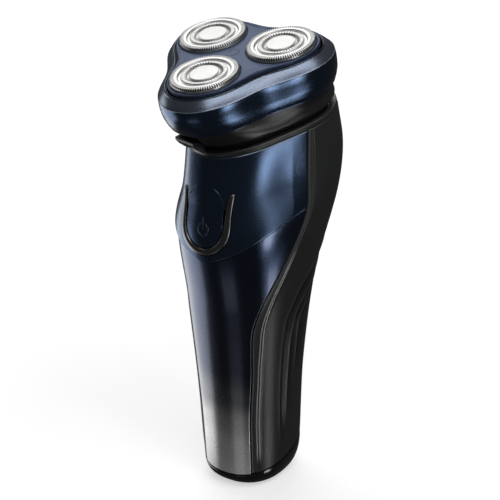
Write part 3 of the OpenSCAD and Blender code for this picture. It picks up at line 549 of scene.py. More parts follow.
# SHADOW_BLACK: near-black painted shade for the trim's feet, the head frame's groove and its inner wall
SHADOW_BLACK = finish("painted_shadow_black", (0.004, 0.004, 0.005), 0.0, 0.6, 0.05, grain=(4200.0, 0.00001),
        specular=0.2)
STEEL = finish("guard_satin_steel", (0.8, 0.8, 0.79), 1.0, 0.36, 0.08, grain=(5200.0, 0.000006),
        paint=steel_paint)
CAP_PALE = finish("cap_pale_satin", (0.85, 0.85, 0.84), 0.75, 0.40, 0.08, grain=(2600.0, 0.000012),
        paint=cap_paint)
DECK = finish("deck_black_satin", (0.022, 0.022, 0.024), 0.0, 0.42, 0.06, grain=(4200.0, 0.00002))
GEAR_WHITE = finish("gear_white_resin", (0.72, 0.70, 0.64), 0.0, 0.38, 0.06, grain=(4200.0, 0.00001))
MOTOR_STEEL = finish("motor_plated_steel", (0.56, 0.56, 0.55), 1.0, 0.30, 0.10, grain=(3000.0, 0.00001))
PIN_METAL = finish("pin_plated_metal", (0.70, 0.68, 0.62), 1.0, 0.22, 0.08, grain=(6000.0, 0.000004))
CELL = finish("cell_green_jacket", (0.05, 0.16, 0.075), 0.0, 0.30, 0.08, grain=(3000.0, 0.00001))
BOARD = finish("board_green_mask", (0.012, 0.09, 0.035), 0.0, 0.33, 0.08, 0.3, 0.1, (2200.0, 0.00003))
SWITCH = finish("switch_black_resin", (0.02, 0.02, 0.021), 0.0, 0.42, 0.06, grain=(4200.0, 0.00002))
RETAINER = finish("retainer_pale_grey", (0.46, 0.49, 0.53), 0.0, 0.36, 0.06, grain=(4200.0, 0.00001))
CUTTER = finish("cutter_ground_steel", (0.58, 0.59, 0.60), 1.0, 0.26, 0.10, grain=(2600.0, 0.00001))
INLET = finish("inlet_black_resin", (0.012, 0.012, 0.013), 0.0, 0.45, 0.06, grain=(4200.0, 0.00002))


# ------------------------------------------------------------------ handle
def side_steps(knots, counts):
    """Angles across one side of the grip for every height: even steps between curves that lie side by side."""
    parts = []
    for lo, hi, n in zip(knots[:-1], knots[1:], counts):
        t = np.linspace(0, 1, n + 1)[:-1]
        parts.append(lo[:, None] * (1 - t) + hi[:, None] * t)
    return np.concatenate(parts + [knots[-1][:, None]], 1)


def grip_shell():
    """The rear shell from seam to seam: a bevelled band and two raised lines run beside each seam, and three
    terraces sweep down each flank. Columns follow those curves, so each edge is a row of points."""
    z0, z1 = CAP_RISE + PART_GAP, NECK_Z
    z = z0 + (z1 - z0) * dense_ends(210, 0.8, z1 - z0)
    mm = np.degrees(1 / blend(z, 2))
    seam = -90 + seam_angle(z) + gap_angle(z)
    width = 2.35 + 0.9 * smooth((z - 50) / 18) * (1 - smooth((z - 84) / 16))
    inner = seam + width * mm
    ridges = [line_curve(z, xs, ys) for xs, ys in (
        ((10, 15, 48, 66, 75, 83.5, 92, 104, 134), (-19, -19, -21, -18, -4, 22.5, 46, 62, 66)),
        ((10, 33, 53.5, 67, 75, 84, 94, 106, 134), (-7, -8, -8, -2, 23, 46, 60, 70, 73)),
        ((10, 47, 61, 70, 78, 88, 98, 108, 134), (5, 4.5, 4.5, 20.5, 44, 60, 70, 77, 80)))]
    ridges = [np.maximum(r, inner + (6 + 3 * k) * mm) for k, r in enumerate(ridges)]
    knots = [seam, seam + 0.25 * mm, seam + 0.6 * mm, inner - 0.75 * mm, inner - 0.42 * mm, inner - 0.12 * mm,
             inner + 0.12 * mm, inner + 0.42 * mm, inner + 0.75 * mm]
    counts = [3, 2, 4, 3, 4, 2, 4, 3]
    for r in ridges:
        knots += [r - 0.25 * mm, r + 0.75 * mm]
        counts += [9, 6]
    knots.append(90 + 0 * z)
    counts.append(12)
    right = side_steps(knots, counts)
    a = np.concatenate([right, 180 - right[:, -2::-1]], 1)
    side = np.where(a <= 90, a, 180 - a)
    zz = z[:, None] + 0 * a
    dist = (side - seam[:, None]) / mm[:, None]
    d_in = (side - inner[:, None]) / mm[:, None]
    off = rolled(dist, 0.35) + rolled(zz - z0, 0.35) + rolled(z1 - zz, 0.45)
    off -= 0.38 * (1 - smooth((d_in + 1.0) / 1.0 + 0.35)) * smooth(dist / 0.5) * (d_in < 0.6)
    fade = smooth((zz - 13) / 8) * (1 - smooth((zz - 88) / 9))
    # two raised lines beside the seam, painted near white and fading out at both ends
    line = np.exp(-((np.abs(d_in) - 0.44) / 0.19) ** 4)
    off += 0.18 * line * fade
    off -= 0.10 * np.exp(-(d_in / 0.16) ** 2) * fade
    off -= 0.12 * np.exp(-(d_in / 0.22) ** 2) * smooth((zz - 86) / 8)
    # crest and hollow marks: a painted highlight along each terrace crest, painted shade in the hollow that falls
    # away behind it
    crest_highlight, hollow = 0 * zz, 0 * zz
    for k, r in enumerate(ridges):
        e = (side - r[:, None]) / mm[:, None]
        nxt = (ridges[k + 1] if k < 2 else np.minimum(r + 13, 88))[:, None]
        run = np.maximum((nxt - r[:, None]) / mm[:, None], 1.0)
        low = (14, 24, 36)[k]
        near = smooth((zz - low) / 16) * (1 - smooth((zz - 96) / 14))
        fall = near * smooth(e / 0.75) * (1 - smooth((e - 0.75) / run)) * (e > 0)
        lit = near * np.exp(-((e + 0.1) / 0.34) ** 2)
        off += 0.12 * lit - 0.75 * fall
        crest_highlight, hollow = np.maximum(crest_highlight, lit), np.maximum(hollow, fall)
    points, faces = shell_patch(skin(zz, a, off), skin(zz, a, -WALL))
    blank = 0 * zz
    # lit_band mark: painted light on the bevelled band beside the seam
    lit_band = smooth(dist / 0.4) * (1 - smooth((d_in + 0.45) / 0.5 + 0.5))
    return make_piece("grip_shell", points, faces, "handle", ["rear_shell"], [GRIP],
                      {key: np.concatenate([v, blank]).ravel() for key, v in
                       (("lit_band", lit_band), ("bright_line", line * fade), ("crest_highlight", crest_highlight), ("hollow", hollow))})


def front_panel():
    """The lower front panel between the seams, from the foot to the curved edge of the cover."""
    u = 2 * dense_ends(110, 0.5, 24) - 1
    t = dense_ends(150, 0.5, 90)
    uu, tt = np.meshgrid(u, t)
    z0, z1 = CAP_RISE + PART_GAP, split_z(uu) - PART_GAP
    z = z0 * (1 - tt) + z1 * tt
    across = (1 - np.abs(uu)) * np.radians(seam_angle(z)) * blend(z, 2)
    off = rolled(across, 0.35) + rolled(z - z0, 0.35) + rolled(z1 - z, 0.3)
    points, faces = shell_patch(front_point(z, uu, off), front_point(z, uu, -WALL))
    return make_piece("front_panel", points, faces, "handle", ["lower_panel"],
            [PANEL_FADE])


def button_outline(grow, n=1440):
    """Outline of the push button, grown by grow: two half rounds joined by straight sides, as (x, up)."""
    w = BUTTON_HALF_W + grow
    t = np.linspace(-90, 270, n, endpoint=False)
    c, s = cosd(t), sind(t)
    return np.stack([w * c, w * s + np.where(s < 0, -BUTTON_LOW, BUTTON_LOW)], -1)


def by_angle(points, centre, angles):
    """Radius of a closed outline, seen from centre, in the given directions (degrees)."""
    d = points - centre
    th = np.degrees(np.arctan2(d[:, 1], d[:, 0])) % 360
    order = np.argsort(th)
    return np.interp(angles % 360, th[order], np.hypot(d[:, 0], d[:, 1])[order], period=360)


def cover_shell():
    """The upper cover: rings of points run from the button's hole out to the four borders, so that both
    edges are rounded; the inner wall repeats the rings and joins them at the hole and at the border."""
    hole = button_outline(0.10)
    z, a = cover_place(hole[:, 0], hole[:, 1])
    hu = (a + 90) / (seam_angle(z) - gap_angle(z))
    zs = split_z(hu) + PART_GAP
    shape = np.stack([hu, (z - zs) / (NECK_Z - zs) * 2 - 1], -1)
    centre = np.array([0.0, shape[:, 1].mean()])
    corner = [math.degrees(math.atan2(t - centre[1], s)) % 360 for s in (-1, 1) for t in (-1, 1)]
    th = np.unique(np.round(np.concatenate([np.linspace(0, 360, 480, endpoint=False), corner]), 6))
    c, s = cosd(th), sind(th)
    far = np.minimum(1 / np.maximum(np.abs(c), 1e-9), np.where(s > 0, (1 - centre[1]),
            (1 + centre[1])) / np.maximum(np.abs(s), 1e-9))
    near = by_angle(shape, centre, th)
    dirs = np.stack([c, s], -1)

    def place(share, off_fn):
        p = centre + dirs * (near + (far - near) * share)[:, None]
        u, t = np.clip(p[:, 0], -1, 1), (np.clip(p[:, 1], -1, 1) + 1) / 2
        z0 = split_z(u) + PART_GAP
        zz = z0 * (1 - t) + NECK_Z * t
        return zz, u, off_fn(zz, u, z0, share)

    def outside(zz, u, z0, share):
        reach = (far - near) * share * 22.0
        across = (1 - np.abs(u)) * np.radians(seam_angle(zz)) * blend(zz, 2)
        off = cover_lift(zz, u) + rolled(across, 0.3) + rolled(zz - z0, 0.45) + rolled(NECK_Z - zz,
                0.35) + rolled(reach, 0.12)
        return off

    shares = dense_ends(58, 0.6, 20)
    rows, rims = [], []
    for share in shares:
        zz, u, off = place(share, outside)
        rows.append(front_point(zz, u, off))
        z0 = split_z(u) + PART_GAP
        # rim mark: painted highlight along the rolled lower edge, weaker along the top edge at the neck
        rims.append(np.maximum(0.30 * (1 - (NECK_Z - zz) / 0.45), 0.9 * (1 - (zz - z0) / 0.42)).clip(0, 1))
    for share in (1, 0.8, 0.5, 0.2, 0):
        zz, u, off = place(share, lambda zz, u, z0, sh: -WALL + 0 * zz)
        rows.append(front_point(zz, u, off))
        rims.append(np.zeros(len(zz)))
    rows = np.array(rows)
    return make_piece("cover_shell", rows.reshape(-1, 3), [grid_faces(len(rows), len(th), True, True)],
            "handle",
                      ["upper_cover"], [COVER_NAVY], {"rim": np.array(rims).ravel()})


def power_sign(x, up):
    """1 inside the power sign: a ring that is open at the top, and a stem that rises through the opening."""
    y = up + SIGN_DROP
    r, th = np.hypot(x, y), np.degrees(np.arctan2(x, y))
    ring = np.abs(r - SIGN_R)
    end = np.hypot(np.abs(x) - SIGN_R * math.sin(math.radians(SIGN_GAP)),
            y - SIGN_R * math.cos(math.radians(SIGN_GAP)))
    ring = np.where(np.abs(th) < SIGN_GAP, end, ring)
    stem = np.hypot(x, y - np.clip(y, 0.4, 3.9))
    return 1 - smooth((np.minimum(ring, stem) - SIGN_LINE) / SIGN_LINE)


def push_button():
    """The push button: rings from its centre to its outline on the cover's face, a shallow hollow for the
    finger, the engraved sign, then straight sides that go inwards and a closed back."""
    outline = button_outline(0.0, 360)
    shares = np.concatenate([np.linspace(0.012, 0.9, 92),
            1 - np.array([0.075, 0.055, 0.04, 0.028, 0.018, 0.01, 0.004, 0])])
    rows, signs = [], []
    for s in shares:
        x, up = outline[:, 0] * s, outline[:, 1] * s
        sign = power_sign(x, up)
        hollow = 0.22 * np.exp(-((x / 5.2) ** 2 + ((up + 4.0) / 6.0) ** 2))
        off = rolled((1 - s) * 9.0, 0.14) - hollow - 0.16 * sign
        rows.append(on_cover(x, up, off))
        signs.append(sign)
    edge = rows[-1]
    for back, grow in ((0.6, 1.0), (3.0, 1.0), (3.2, 0.98)):
        p = edge.copy()
        p[:, 1] += back
        mid = p.mean(0)
        p[:, [0, 2]] = mid[[0, 2]] + (p[:, [0, 2]] - mid[[0, 2]]) * grow
        rows.append(p)
        signs.append(np.zeros(len(p)))
    rows = np.array(rows)
    front, behind = on_cover(np.zeros(1), np.zeros(1),
            -0.22 * math.exp(-(4.0 / 6.0) ** 2)), rows[-1].mean(0)[None]
    points = np.concatenate([rows.reshape(-1, 3), front, behind])
    m, n = rows.shape[:2]
    return make_piece("push_button", points, [grid_faces(m, n, True)] + end_caps(m, n), "button",
            ["power_button"],
                      [BUTTON_NAVY], {"sign": np.concatenate([np.array(signs).ravel(),
                      [power_sign(np.zeros(1), np.zeros(1))[0], 0]])})


def trim_bow():
    """The U-shaped trim: a low rounded bar, with a thin black strip of painted shadow along both feet for the gap
    to the cover, carried down one arm, round the half circle and up the other arm, and drawn in to a round end at
    both tips."""
    half, arm, flare = BUTTON_HALF_W + 0.35 + 0.1 + 1.4, 10.5, 0.9
    total = 2 * arm + math.pi * half
    s = total * dense_ends(170, 1.6, total)
    left = s < arm
    right = s > total - arm
    th = np.pi + (s - arm) / half
    out = flare * np.clip(np.where(left, arm - s, s - (total - arm)) / arm, 0, 1) ** 2
    x = np.where(left, -half - out, np.where(right, half + out, half * np.cos(th)))
    up = -BUTTON_LOW + np.where(left, arm - s, np.where(right, s - (total - arm), half * np.sin(th)))
    nx, ny = np.where(left, -1, np.where(right, 1, np.cos(th))), np.where(left | right, 0, np.sin(th))
    tip = np.minimum(s, total - s)
    narrow = np.sqrt(np.clip(1 - (1 - np.clip(tip / 1.1, 0, 1)) ** 3, 0.0004,
            1)) * (0.86 + 0.22 * smooth((tip - 4) / 14))
    turn = np.radians(np.linspace(180, 0, 17))
    w, h = np.concatenate([[-1.5, -1.5, -1.42, -1.22], 1.15 * np.cos(turn), [1.22, 1.42, 1.5, 1.5]]), \
        np.concatenate([[-0.25, 0.02, 0.07, 0.07], 0.10 + 0.62 * np.sin(turn) ** 0.8,
                [0.07, 0.07, 0.02, -0.25]])
    rows = [on_cover(x + nx * v * narrow, up + ny * v * narrow,
            (k if k < 0.08 else 0.10 + (k - 0.10) * narrow)) for v, k in zip(w, h)]
    rows = np.array(rows)
    m, n = rows.shape[:2]
    faces = grid_faces(m, n, wrap_rows=True)
    strip = faces.reshape(m, n - 1, 4)
    # the trim's feet and tips are painted near-black as the shadow in the gap to the cover
    shadow_strip = np.concatenate([strip[:4], strip[20:]]).reshape(-1, 4)
    ends = [np.stack([np.full(m - 2, 0), np.arange(1, m - 1), np.arange(2, m)], -1) * np.array([n]),
            np.stack([np.full(m - 2, 0), np.arange(2, m), np.arange(1, m - 1)], -1) * np.array([n]) + n - 1]
    return make_piece("button_bow", rows.reshape(-1, 3), [strip[4:20].reshape(-1, 4), shadow_strip] + ends, "handle",
            ["button_trim"],
                      [GUNMETAL, SHADOW_BLACK], spots=[0, 1, 1, 1])


def foot_cap():
    """The foot: the skin's outline at the parting line, drawn in along a quarter round to the flat underside,
    then in to the inlet's opening, up through the floor and back along the inner wall. One closed surface."""
    a = np.linspace(0, 360, 240, endpoint=False)
    rim = skin(CAP_RISE, a)
    right, left = np.linspace(-1.5708, 1.5708, 200), np.linspace(1.5708, 4.7124, 200)
    mouth = np.concatenate([
        np.stack([x + INLET_R * np.cos(t), INLET_R * np.sin(t)], -1) for x,
        t in ((INLET_PITCH, right), (-INLET_PITCH, left))])
    way = np.degrees(np.arctan2(rim[:, 1], rim[:, 0]))
    reach = by_angle(mouth, np.zeros(2), way)
    hole = np.stack([reach * cosd(way), reach * sind(way)], -1)
    rows = []

    def outline(share, z, grow=0.0):
        p = skin(CAP_RISE, a, grow)
        return np.stack([p[:, 0] * share, p[:, 1] * share, (p[:, 2] - PART_GAP) * z], -1)

    def opening(grow, z):
        d = hole / np.hypot(hole[:, 0], hole[:, 1])[:, None]
        return np.stack([hole[:, 0] + d[:, 0] * grow, hole[:, 1] + d[:, 1] * grow, np.full(len(a), z)], -1)

    for grow, z in ((0, WALL), (0, 0.4), (0.08, 0.12), (0.3, 0.0)):
        rows.append(opening(grow, z))
    base = outline(0.62, 0.0)
    for k in (0.35, 0.7):
        rows.append(opening(0.3, 0) * (1 - k) + base * k)
    for t in np.linspace(0, 88.5, 34):
        t = math.radians(t)
        rows.append(outline(0.62 + 0.38 * math.sin(t), 1 - math.cos(t)))
    top = outline(1, 1)
    inward = outline(1, 1, -1) - top
    rows += [top + inward * 0.06 - [0, 0, 0.04], top + inward * 0.22, top + inward * 0.9, top + inward * 1.7]
    for t in (80, 60, 40, 20, 0):
        t = math.radians(t)
        p = outline(0.62 + 0.38 * math.sin(t), 1, -WALL)
        p[:, 2] = WALL + (p[:, 2] - WALL) * (1 - math.cos(t))
        rows.append(p)
    rows = np.array(rows)
    rows[..., 2] = np.maximum(rows[..., 2], 0)
    return make_piece("foot_cap", rows.reshape(-1, 3), [grid_faces(len(rows), len(a), True, True)], "handle",
            ["base_cap"],
                      [GLOSS_BLACK])


# ------------------------------------------------------------------ collar, tab and neck ring
def swept_ring(name, profile, body, stands_for, materials, spots_at=None, n=360, extra=(), rims=None):
    """A closed profile of (depth, radius, lobe, q) carried round the head's lobed outline."""
    a = np.linspace(0, 360, n, endpoint=False)
    rows = []
    for depth, r, lobe, q in profile:
        p = lobed(a, r, lobe, q)
        rows.append(head(p[:, 0], p[:, 1], depth))
    rows = np.array(rows)
    faces = grid_faces(len(rows), n, True, True).reshape(len(rows), n, 4)
    groups, spots = [faces.reshape(-1, 4)], [0]
    if spots_at:
        pick = np.zeros(len(rows), int)
        for lo, hi, spot in spots_at:
            pick[lo:hi] = spot
        groups = [faces[pick == s].reshape(-1, 4) for s in sorted(set(pick))]
        spots = sorted(set(pick))
    points = rows.reshape(-1, 3)
    for more_points, more_faces in extra:
        groups += [f + len(points) for f in more_faces]
        spots += [0] * len(more_faces)
        points = np.concatenate([points, more_points])
    # rims, stored as the rim mark, weight the painted edge highlight
    marks = {"rim": np.repeat(rims, n)} if rims is not None else None
    return make_piece(name, points, groups, body, stands_for, materials, marks, spots)


def rounded_bar(profile, x0, x1, turn=0.0, round_off=0.5, n=14):
    """A closed profile of (q, depth) carried along x, drawn in a little at both ends and closed there."""
    profile = np.asarray(profile, float)
    mid = profile.mean(0)
    t = np.linspace(0, 90, 6)
    near = round_off * (1 - cosd(t))
    xs = np.concatenate([x0 + near, np.linspace(x0 + round_off, x1 - round_off, n)[1:-1], (x1 - near)[::-1]])
    drawn = round_off * (1 - sind(t))
    fall = np.concatenate([drawn, np.zeros(n - 2), drawn[::-1]])
    rows = []
    c, s = math.cos(math.radians(turn)), math.sin(math.radians(turn))
    for x, f in zip(xs, fall):
        d = profile - mid
        length = np.maximum(np.hypot(d[:, 0], d[:, 1]), 1e-6)
        p = mid + d * (1 - np.minimum(f / length, 0.9))[:, None]
        rows.append(head(x * c - p[:, 0] * s, x * s + p[:, 0] * c, p[:, 1]))
    rows = np.array(rows)
    m, k = rows.shape[:2]
    points = np.concatenate([rows.reshape(-1, 3), rows[0].mean(0)[None], rows[-1].mean(0)[None]])
    return points, [grid_faces(m, k, True)] + end_caps(m, k)


def softened(corners, r=0.4, n=6):
    """A closed polygon of corners with each one replaced by a small curve."""
    c = np.asarray(corners, float)
    out = []
    for i in range(len(c)):
        a, b, d = c[i - 1], c[i], c[(i + 1) % len(c)]
        u, v = (a - b) / np.linalg.norm(a - b), (d - b) / np.linalg.norm(d - b)
        r1 = min(r, 0.45 * np.linalg.norm(a - b), 0.45 * np.linalg.norm(d - b))
        t = np.linspace(0, 1, n)[:, None]
        out.append((1 - t) ** 2 * (b + u * r1) + 2 * t * (1 - t) * b + t**2 * (b + v * r1))
    return np.concatenate(out)


def neck_collar():
    """The thin grey ring on the neck, with the two lugs that carry the hinge pin at the back."""
    profile = softened([(27.95, 0), (26.1, 0), (26.1, -2.4), (27.95, -2.4)], 0.55, 7)
    rows = [(d, NECK_R - 0.3 + r, NECK_LOBE + 0.2, 4.5) for d, r in profile]
    q, depth, r = NECK_Q + NECK_R - 4, (CHAMBER_DEPTH + 26.1) / 2, (26.1 - CHAMBER_DEPTH) / 2 - 0.3
    t = np.radians(np.linspace(0, 180, 25))
    lug = np.concatenate([np.stack([q - r * np.cos(t), depth - r * np.sin(t)], -1),
            [[q + r - 0.3, 26.6], [q - r, 26.6]]])
    lugs = [rounded_bar(lug, *span, round_off=0.25) for span in ((6, 10), (-10, -6))]
    return swept_ring("neck_collar", rows, "handle", ["neck_ring"], [RING_GREY], extra=lugs)


def opening_tab():
    """The release tab: a wedge with a raised lip, carried across its width and rounded at both ends."""
    body = softened([(-23.6, 26.0), (-24.9, 26.0), (-26.9, 23.6), (-27.95, 21.7), (-27.7, 20.65),
            (-26.6, 20.75), (-23.6, 21.0)], 0.4, 7)
    parts = [rounded_bar(body, -5.2, 5.2, TAB_TURN, 0.8, 24),
             rounded_bar(softened([(-23.7, 26.0), (-20.55, 26.0), (-20.55, 24.7), (-23.7, 24.7)], 0.3), -3, 3,
             TAB_TURN, 0.3, 8)]
    points, faces = parts[0]
    for more, more_faces in parts[1:]:
        faces = faces + [f + len(points) for f in more_faces]
        points = np.concatenate([points, more])
    return make_piece("opening_tab", points, faces, "latch", ["release_tab"], [COLLAR])


# ------------------------------------------------------------------ plates with three holes
RAY, ARC = 33, 121  # points along a sector's straight side and along its arc


def hole_plate(outline, hole_r, hole_at, shares):
    """A flat plate with three round holes, as three sectors. In each, rings run from the hole's circle to the
    sector's border: along one ray from the centre, along the outline and back. Returns the rings as (x, q)
    with their shares, for each sector. outline gives the points of a sector's arc from its angle array."""
    sectors = []
    for k, g in enumerate(GUARD_ANGLES):
        arc = outline(k)
        ray = np.linspace(0, 1, RAY + 1)[1:-1, None]
        border = np.concatenate([np.zeros((1, 2)), arc[0] * ray, arc, arc[-1] * ray[::-1]])
        c = hole_at * np.array([math.cos(math.radians(g)), math.sin(math.radians(g))])
        d = border - c
        ring = c + d / np.hypot(d[:, 0], d[:, 1])[:, None] * hole_r
        sectors.append(np.array([ring * (1 - s) + border * s for s in shares]))
    return sectors


def sector_angles(k, extra=()):
    """Angles of the outline's arc that belongs to guard k, from waist to waist."""
    g = GUARD_ANGLES[k]
    return np.unique(np.round(np.concatenate([np.linspace(g - 60, g + 60, ARC),
            [e for e in extra if g - 60 < e < g + 60]]), 6))


def slate_plate():
    """The head plate: three holes with rounded edges, a border that rolls down to a fine step, and a small
    round dimple in the middle. Top, hole walls, underside and outer wall meet in one closed skin."""
    shares = dense_ends(26, 1.4, 9)
    top_d, low_d = GUARD_PROUD, GUARD_PROUD + 1.58

    def outline(k):
        return lobed(sector_angles(k), PLATE_R, PLATE_LOBE)

    grids = []
    for k, rings in enumerate(hole_plate(outline, GUARD_R + HOLE_FIT, PITCH_R, shares)):
        c = PITCH_R * np.array([math.cos(math.radians(GUARD_ANGLES[k])),
                math.sin(math.radians(GUARD_ANGLES[k]))])
        x, q = rings[..., 0], rings[..., 1]
        from_hole = np.hypot(x - c[0], q - c[1]) - (GUARD_R + HOLE_FIT)
        edge = PLATE_R + PLATE_LOBE * np.cos(3 * (np.arctan2(q, x) + math.pi / 2)) - np.hypot(x, q)
        fall = -rolled(from_hole, 0.4) - rolled(np.maximum(edge, 0), 0.45)
        fall = fall + 0.22 * smooth((edge - 0.75) / 0.5) * (1 - smooth((edge
                - 1.6) / 2.2)) * smooth(from_hole / 0.8)
        fall = fall + 0.25 * (1 - smooth((np.hypot(x, q) - 1.6) / 0.9))
        top = head(x, q, top_d + np.minimum(fall, 0.9))
        under = head(x[::-1], q[::-1], low_d)
        grids.append(np.concatenate([top, under]))
    points, faces = [], []
    base = 0
    for rows in grids:
        m, n = rows.shape[:2]
        half = m // 2
        f = grid_faces(m, n, True, True).reshape(m, n, 4)
        # the strip between the last top ring and the first under ring is the outer wall only along the arc
        arc = np.zeros(n, bool)
        arc[RAY:RAY + ARC - 1] = True
        keep = np.ones((m, n), bool)
        keep[half - 1] = arc
        faces.append(f[keep] + base)
        points.append(rows.reshape(-1, 3))
        base += m * n
    return make_piece("slate_plate", np.concatenate(points), faces, "head", ["head_plate"],
            [PLATE_SLATE], weld=True)


def head_shell():
    """The head's frame: skirt, a crisp edge, the wide bevel, a fine lip and groove round the plate, the ledge
    that carries it and the inner wall, carried round the lobed outline."""
    outer = [(15.8, 27.4, 4.35, 0.6), (15.8, 27.58, 4.37, 0.6), (15.68, 27.74, 4.38, 0.58)]
    knots = np.array([[15.4, 27.8, 4.4, 0.57], [13.6, 28.4, 4.6, 0.4], [11, 28.86, 4.85, 0.2],
            [8, 28.93, 5.05, 0], [6.3, 28.84, 5.05, 0], [5.62, 28.72, 5.05, 0]])
    t = np.linspace(0, 1, 26)
    span = np.array([0, 0.2, 0.45, 0.72, 0.9, 1])
    skirt = np.stack([line_curve(t, span, knots[:, i]) for i in range(4)], -1)
    bevel = [(5.5, 28.74, 5.05, 0), (5.40, 28.72, 5.05, 0), (5.30, 28.64, 5.05, 0), (5.22, 28.53, 5.05, 0)]
    s = np.linspace(0, 1, 14)[1:]
    bevel += [(5.22 - 2.42 * v - 0.12 * math.sin(math.pi * v), 28.53 - 2.42 * v, 5.05 - 0.02 * v, 0) for v in s]
    top = [(2.66, 26.0, 5.03, 0), (2.58, 25.93, 5.02, 0), (2.60, 25.86, 5.02, 0), (2.75, 25.82, 5.02, 0),
            (3.0, 25.76, 5.02, 0),
           (3.0, 25.58, 5.02, 0), (2.72, 25.53, 5.01, 0), (2.56, 25.47, 5.0, 0), (2.5, 25.38, 5.0, 0),
           (2.54, 25.28, 5.0, 0),
           (2.7, 25.22, 5.0, 0), (3.0, 25.2, 5.0, 0)]
    inside = [(3.0, 24.75, 5.3, 0), (3.0, 24.15, 5.9, 0), (4.4, 24.15, 5.9, 0), (4.8, 26.5, 4.9, 0),
            (8.5, 26.95, 4.9, 0),
              (12.8, 26.75, 4.6, 0.4), (15.7, 26.45, 4.4, 0.6), (15.8, 26.6, 4.42, 0.6)]
    profile = outer + [tuple(v) for v in skirt] + bevel + top + inside
    # rims: painted highlight on the crisp edge under the bevel, faint on the bevel itself, and on the fine lip
    # round the plate
    rims = np.zeros(len(profile))
    first = len(outer) + len(skirt)
    rims[first + 1:first + 3] = 0.75
    rims[first + 4:first + len(bevel) + 1] = 0.22
    rims[first + len(bevel) + 8:first + len(bevel) + 10] = 0.45
    # the groove round the plate and the inner wall are painted near-black as shade
    return swept_ring("head_shell", profile, "head", ["head_frame"], [HEAD_NAVY, SHADOW_BLACK],
                      spots_at=[(len(outer) + len(skirt) + len(bevel) + 2,
                      len(outer) + len(skirt) + len(bevel) + 7, 1),
                                (len(profile) - len(inside) - 2, len(profile) - 1, 1)], n=480, rims=rims)


def notch_shift(x, q, depth, grow=0.0):
    """Pushes points of the collar's wall back behind the tab: inside the notch's width and below its top, the
    wall lies on a plane across the tab's way."""
    c, s = math.cos(math.radians(TAB_TURN)), math.sin(math.radians(TAB_TURN))
    tx, tq = x * c + q * s, -x * s + q * c
    inside = (np.abs(tx) <= NOTCH_HALF + grow) & (depth >= NOTCH_TOP - grow) & (tq < NOTCH_WALL + grow)
    tq = np.where(inside, NOTCH_WALL + grow, tq)
    return tx * c - tq * s, tx * s + tq * c


def hair_box():
    """The collar under the head: its wall from the underside up to the frame with a fine lit lip, a notch for the
    tab, and a floor with three round openings. The inner wall and floor repeat the outline further in."""
    spans = sorted(math.degrees(math.atan2(-25.9, v)) + TAB_TURN for v in (-6.46, -6.44, 6.44, 6.46))
    near = np.linspace(spans[0] - 4, spans[-1] + 4, 61)
    arcs = [sector_angles(k, list(near) + spans) for k in range(3)]
    order = [arc[:-1] for arc in arcs]
    a = np.concatenate(order)
    outer = [(22.8, 26.1, 2.5, 3.65), (22.74, 26.42, 2.53, 3.63), (22.5, 26.62, 2.57, 3.55),
            (22.0, 26.68, 2.66, 3.42), (21, 26.64, 2.85, 3.0),
             (19.3, 26.55, 3.3, 2.2), (18.41, 26.2, 3.55, 1.75), (18.39, 26.2, 3.55, 1.75),
             (17.3, 25.98, 3.85, 1.3), (16.6, 25.9, 4.0, 1.08),
             (16.15, 25.86, 4.08, 0.95), (15.95, 25.8, 4.1, 0.9), (15.9, 25.6, 4.1, 0.9),
             (14.3, 25.6, 4.2, 0.5)]
    inner = [(14.3, 24.5, 4.2, 0.5), (15.9, 24.45, 4.1, 0.9), (18.41, 25.0, 3.5, 1.75), (19.3, 25.0, 3.3, 2.2),
            (21.4, 25.1, 2.8, 3.2)]
    rows = []
    for i, (depth, r, lobe, q0) in enumerate(outer + inner):
        p = lobed(a, r, lobe, q0)
        x, q = notch_shift(p[:, 0], p[:, 1], depth, 0.0 if i < len(outer) else 1.4)
        rows.append(head(x, q, depth))
    rows = np.array(rows)
    parts, faces = [rows.reshape(-1, 3)], [grid_faces(len(rows), len(a), True)]
    base = len(rows) * len(a)
    starts = np.cumsum([0] + [len(o) for o in order])
    full = [np.arange(starts[k], starts[k] + len(order[k]) + 1) % len(a) for k in range(3)]

    def border(spec, grow):
        def outline(k):
            p = lobed(a[full[k]], *spec[1:])
            return np.stack(notch_shift(p[:, 0], p[:, 1], spec[0], grow), -1)
        return outline

    hole, rims = HUB_R + 0.6, []
    for spec, grow, flip in ((outer[0], 0.0, True), (inner[-1], 1.4, False)):
        for rings in hole_plate(border(spec, grow), hole, PITCH_R, dense_ends(12, 0.5, 12)):
            p = head(rings[..., 0], rings[..., 1], spec[0])
            f = grid_faces(*p.shape[:2], True)
            faces.append((f[:, ::-1] if flip else f) + base)
            parts.append(p.reshape(-1, 3))
            base += len(parts[-1])
        circles = hole_plate(border(spec, grow), hole, PITCH_R, [0])
        rims.append([head(c[0][:, 0], c[0][:, 1], spec[0]) for c in circles])
    for low, high in zip(*rims):
        faces.append(grid_faces(2, len(low), True) + base)
        parts.append(np.concatenate([low, high]))
        base += len(parts[-1])
    return make_piece("hair_box", np.concatenate(parts), faces, "head", ["hair_chamber"],
            [COLLAR], weld=True)


# ------------------------------------------------------------------ guards and caps
def along(profile, step):
    """Extra points along the sides of a polygon so that no step is longer than step."""
    out = []
    for a, b in zip(profile[:-1], profile[1:]):
        n = max(1, int(math.ceil(math.dist(a, b) / step)))
        out.append(np.array(a) + (np.array(b) - np.array(a)) * (np.arange(n) / n)[:, None])
    return np.concatenate(out + [np.array(profile[-1:])])


def at_guard(k, r, a, h):
    """Point of guard k: radius r in direction a (degrees) from its axis, at height h over the rim."""
    g = math.radians(GUARD_ANGLES[k])
    t = np.radians(a)
    return head(PITCH_R * math.cos(g) + r * np.cos(t), PITCH_R * math.sin(g) + r * np.sin(t), -h)


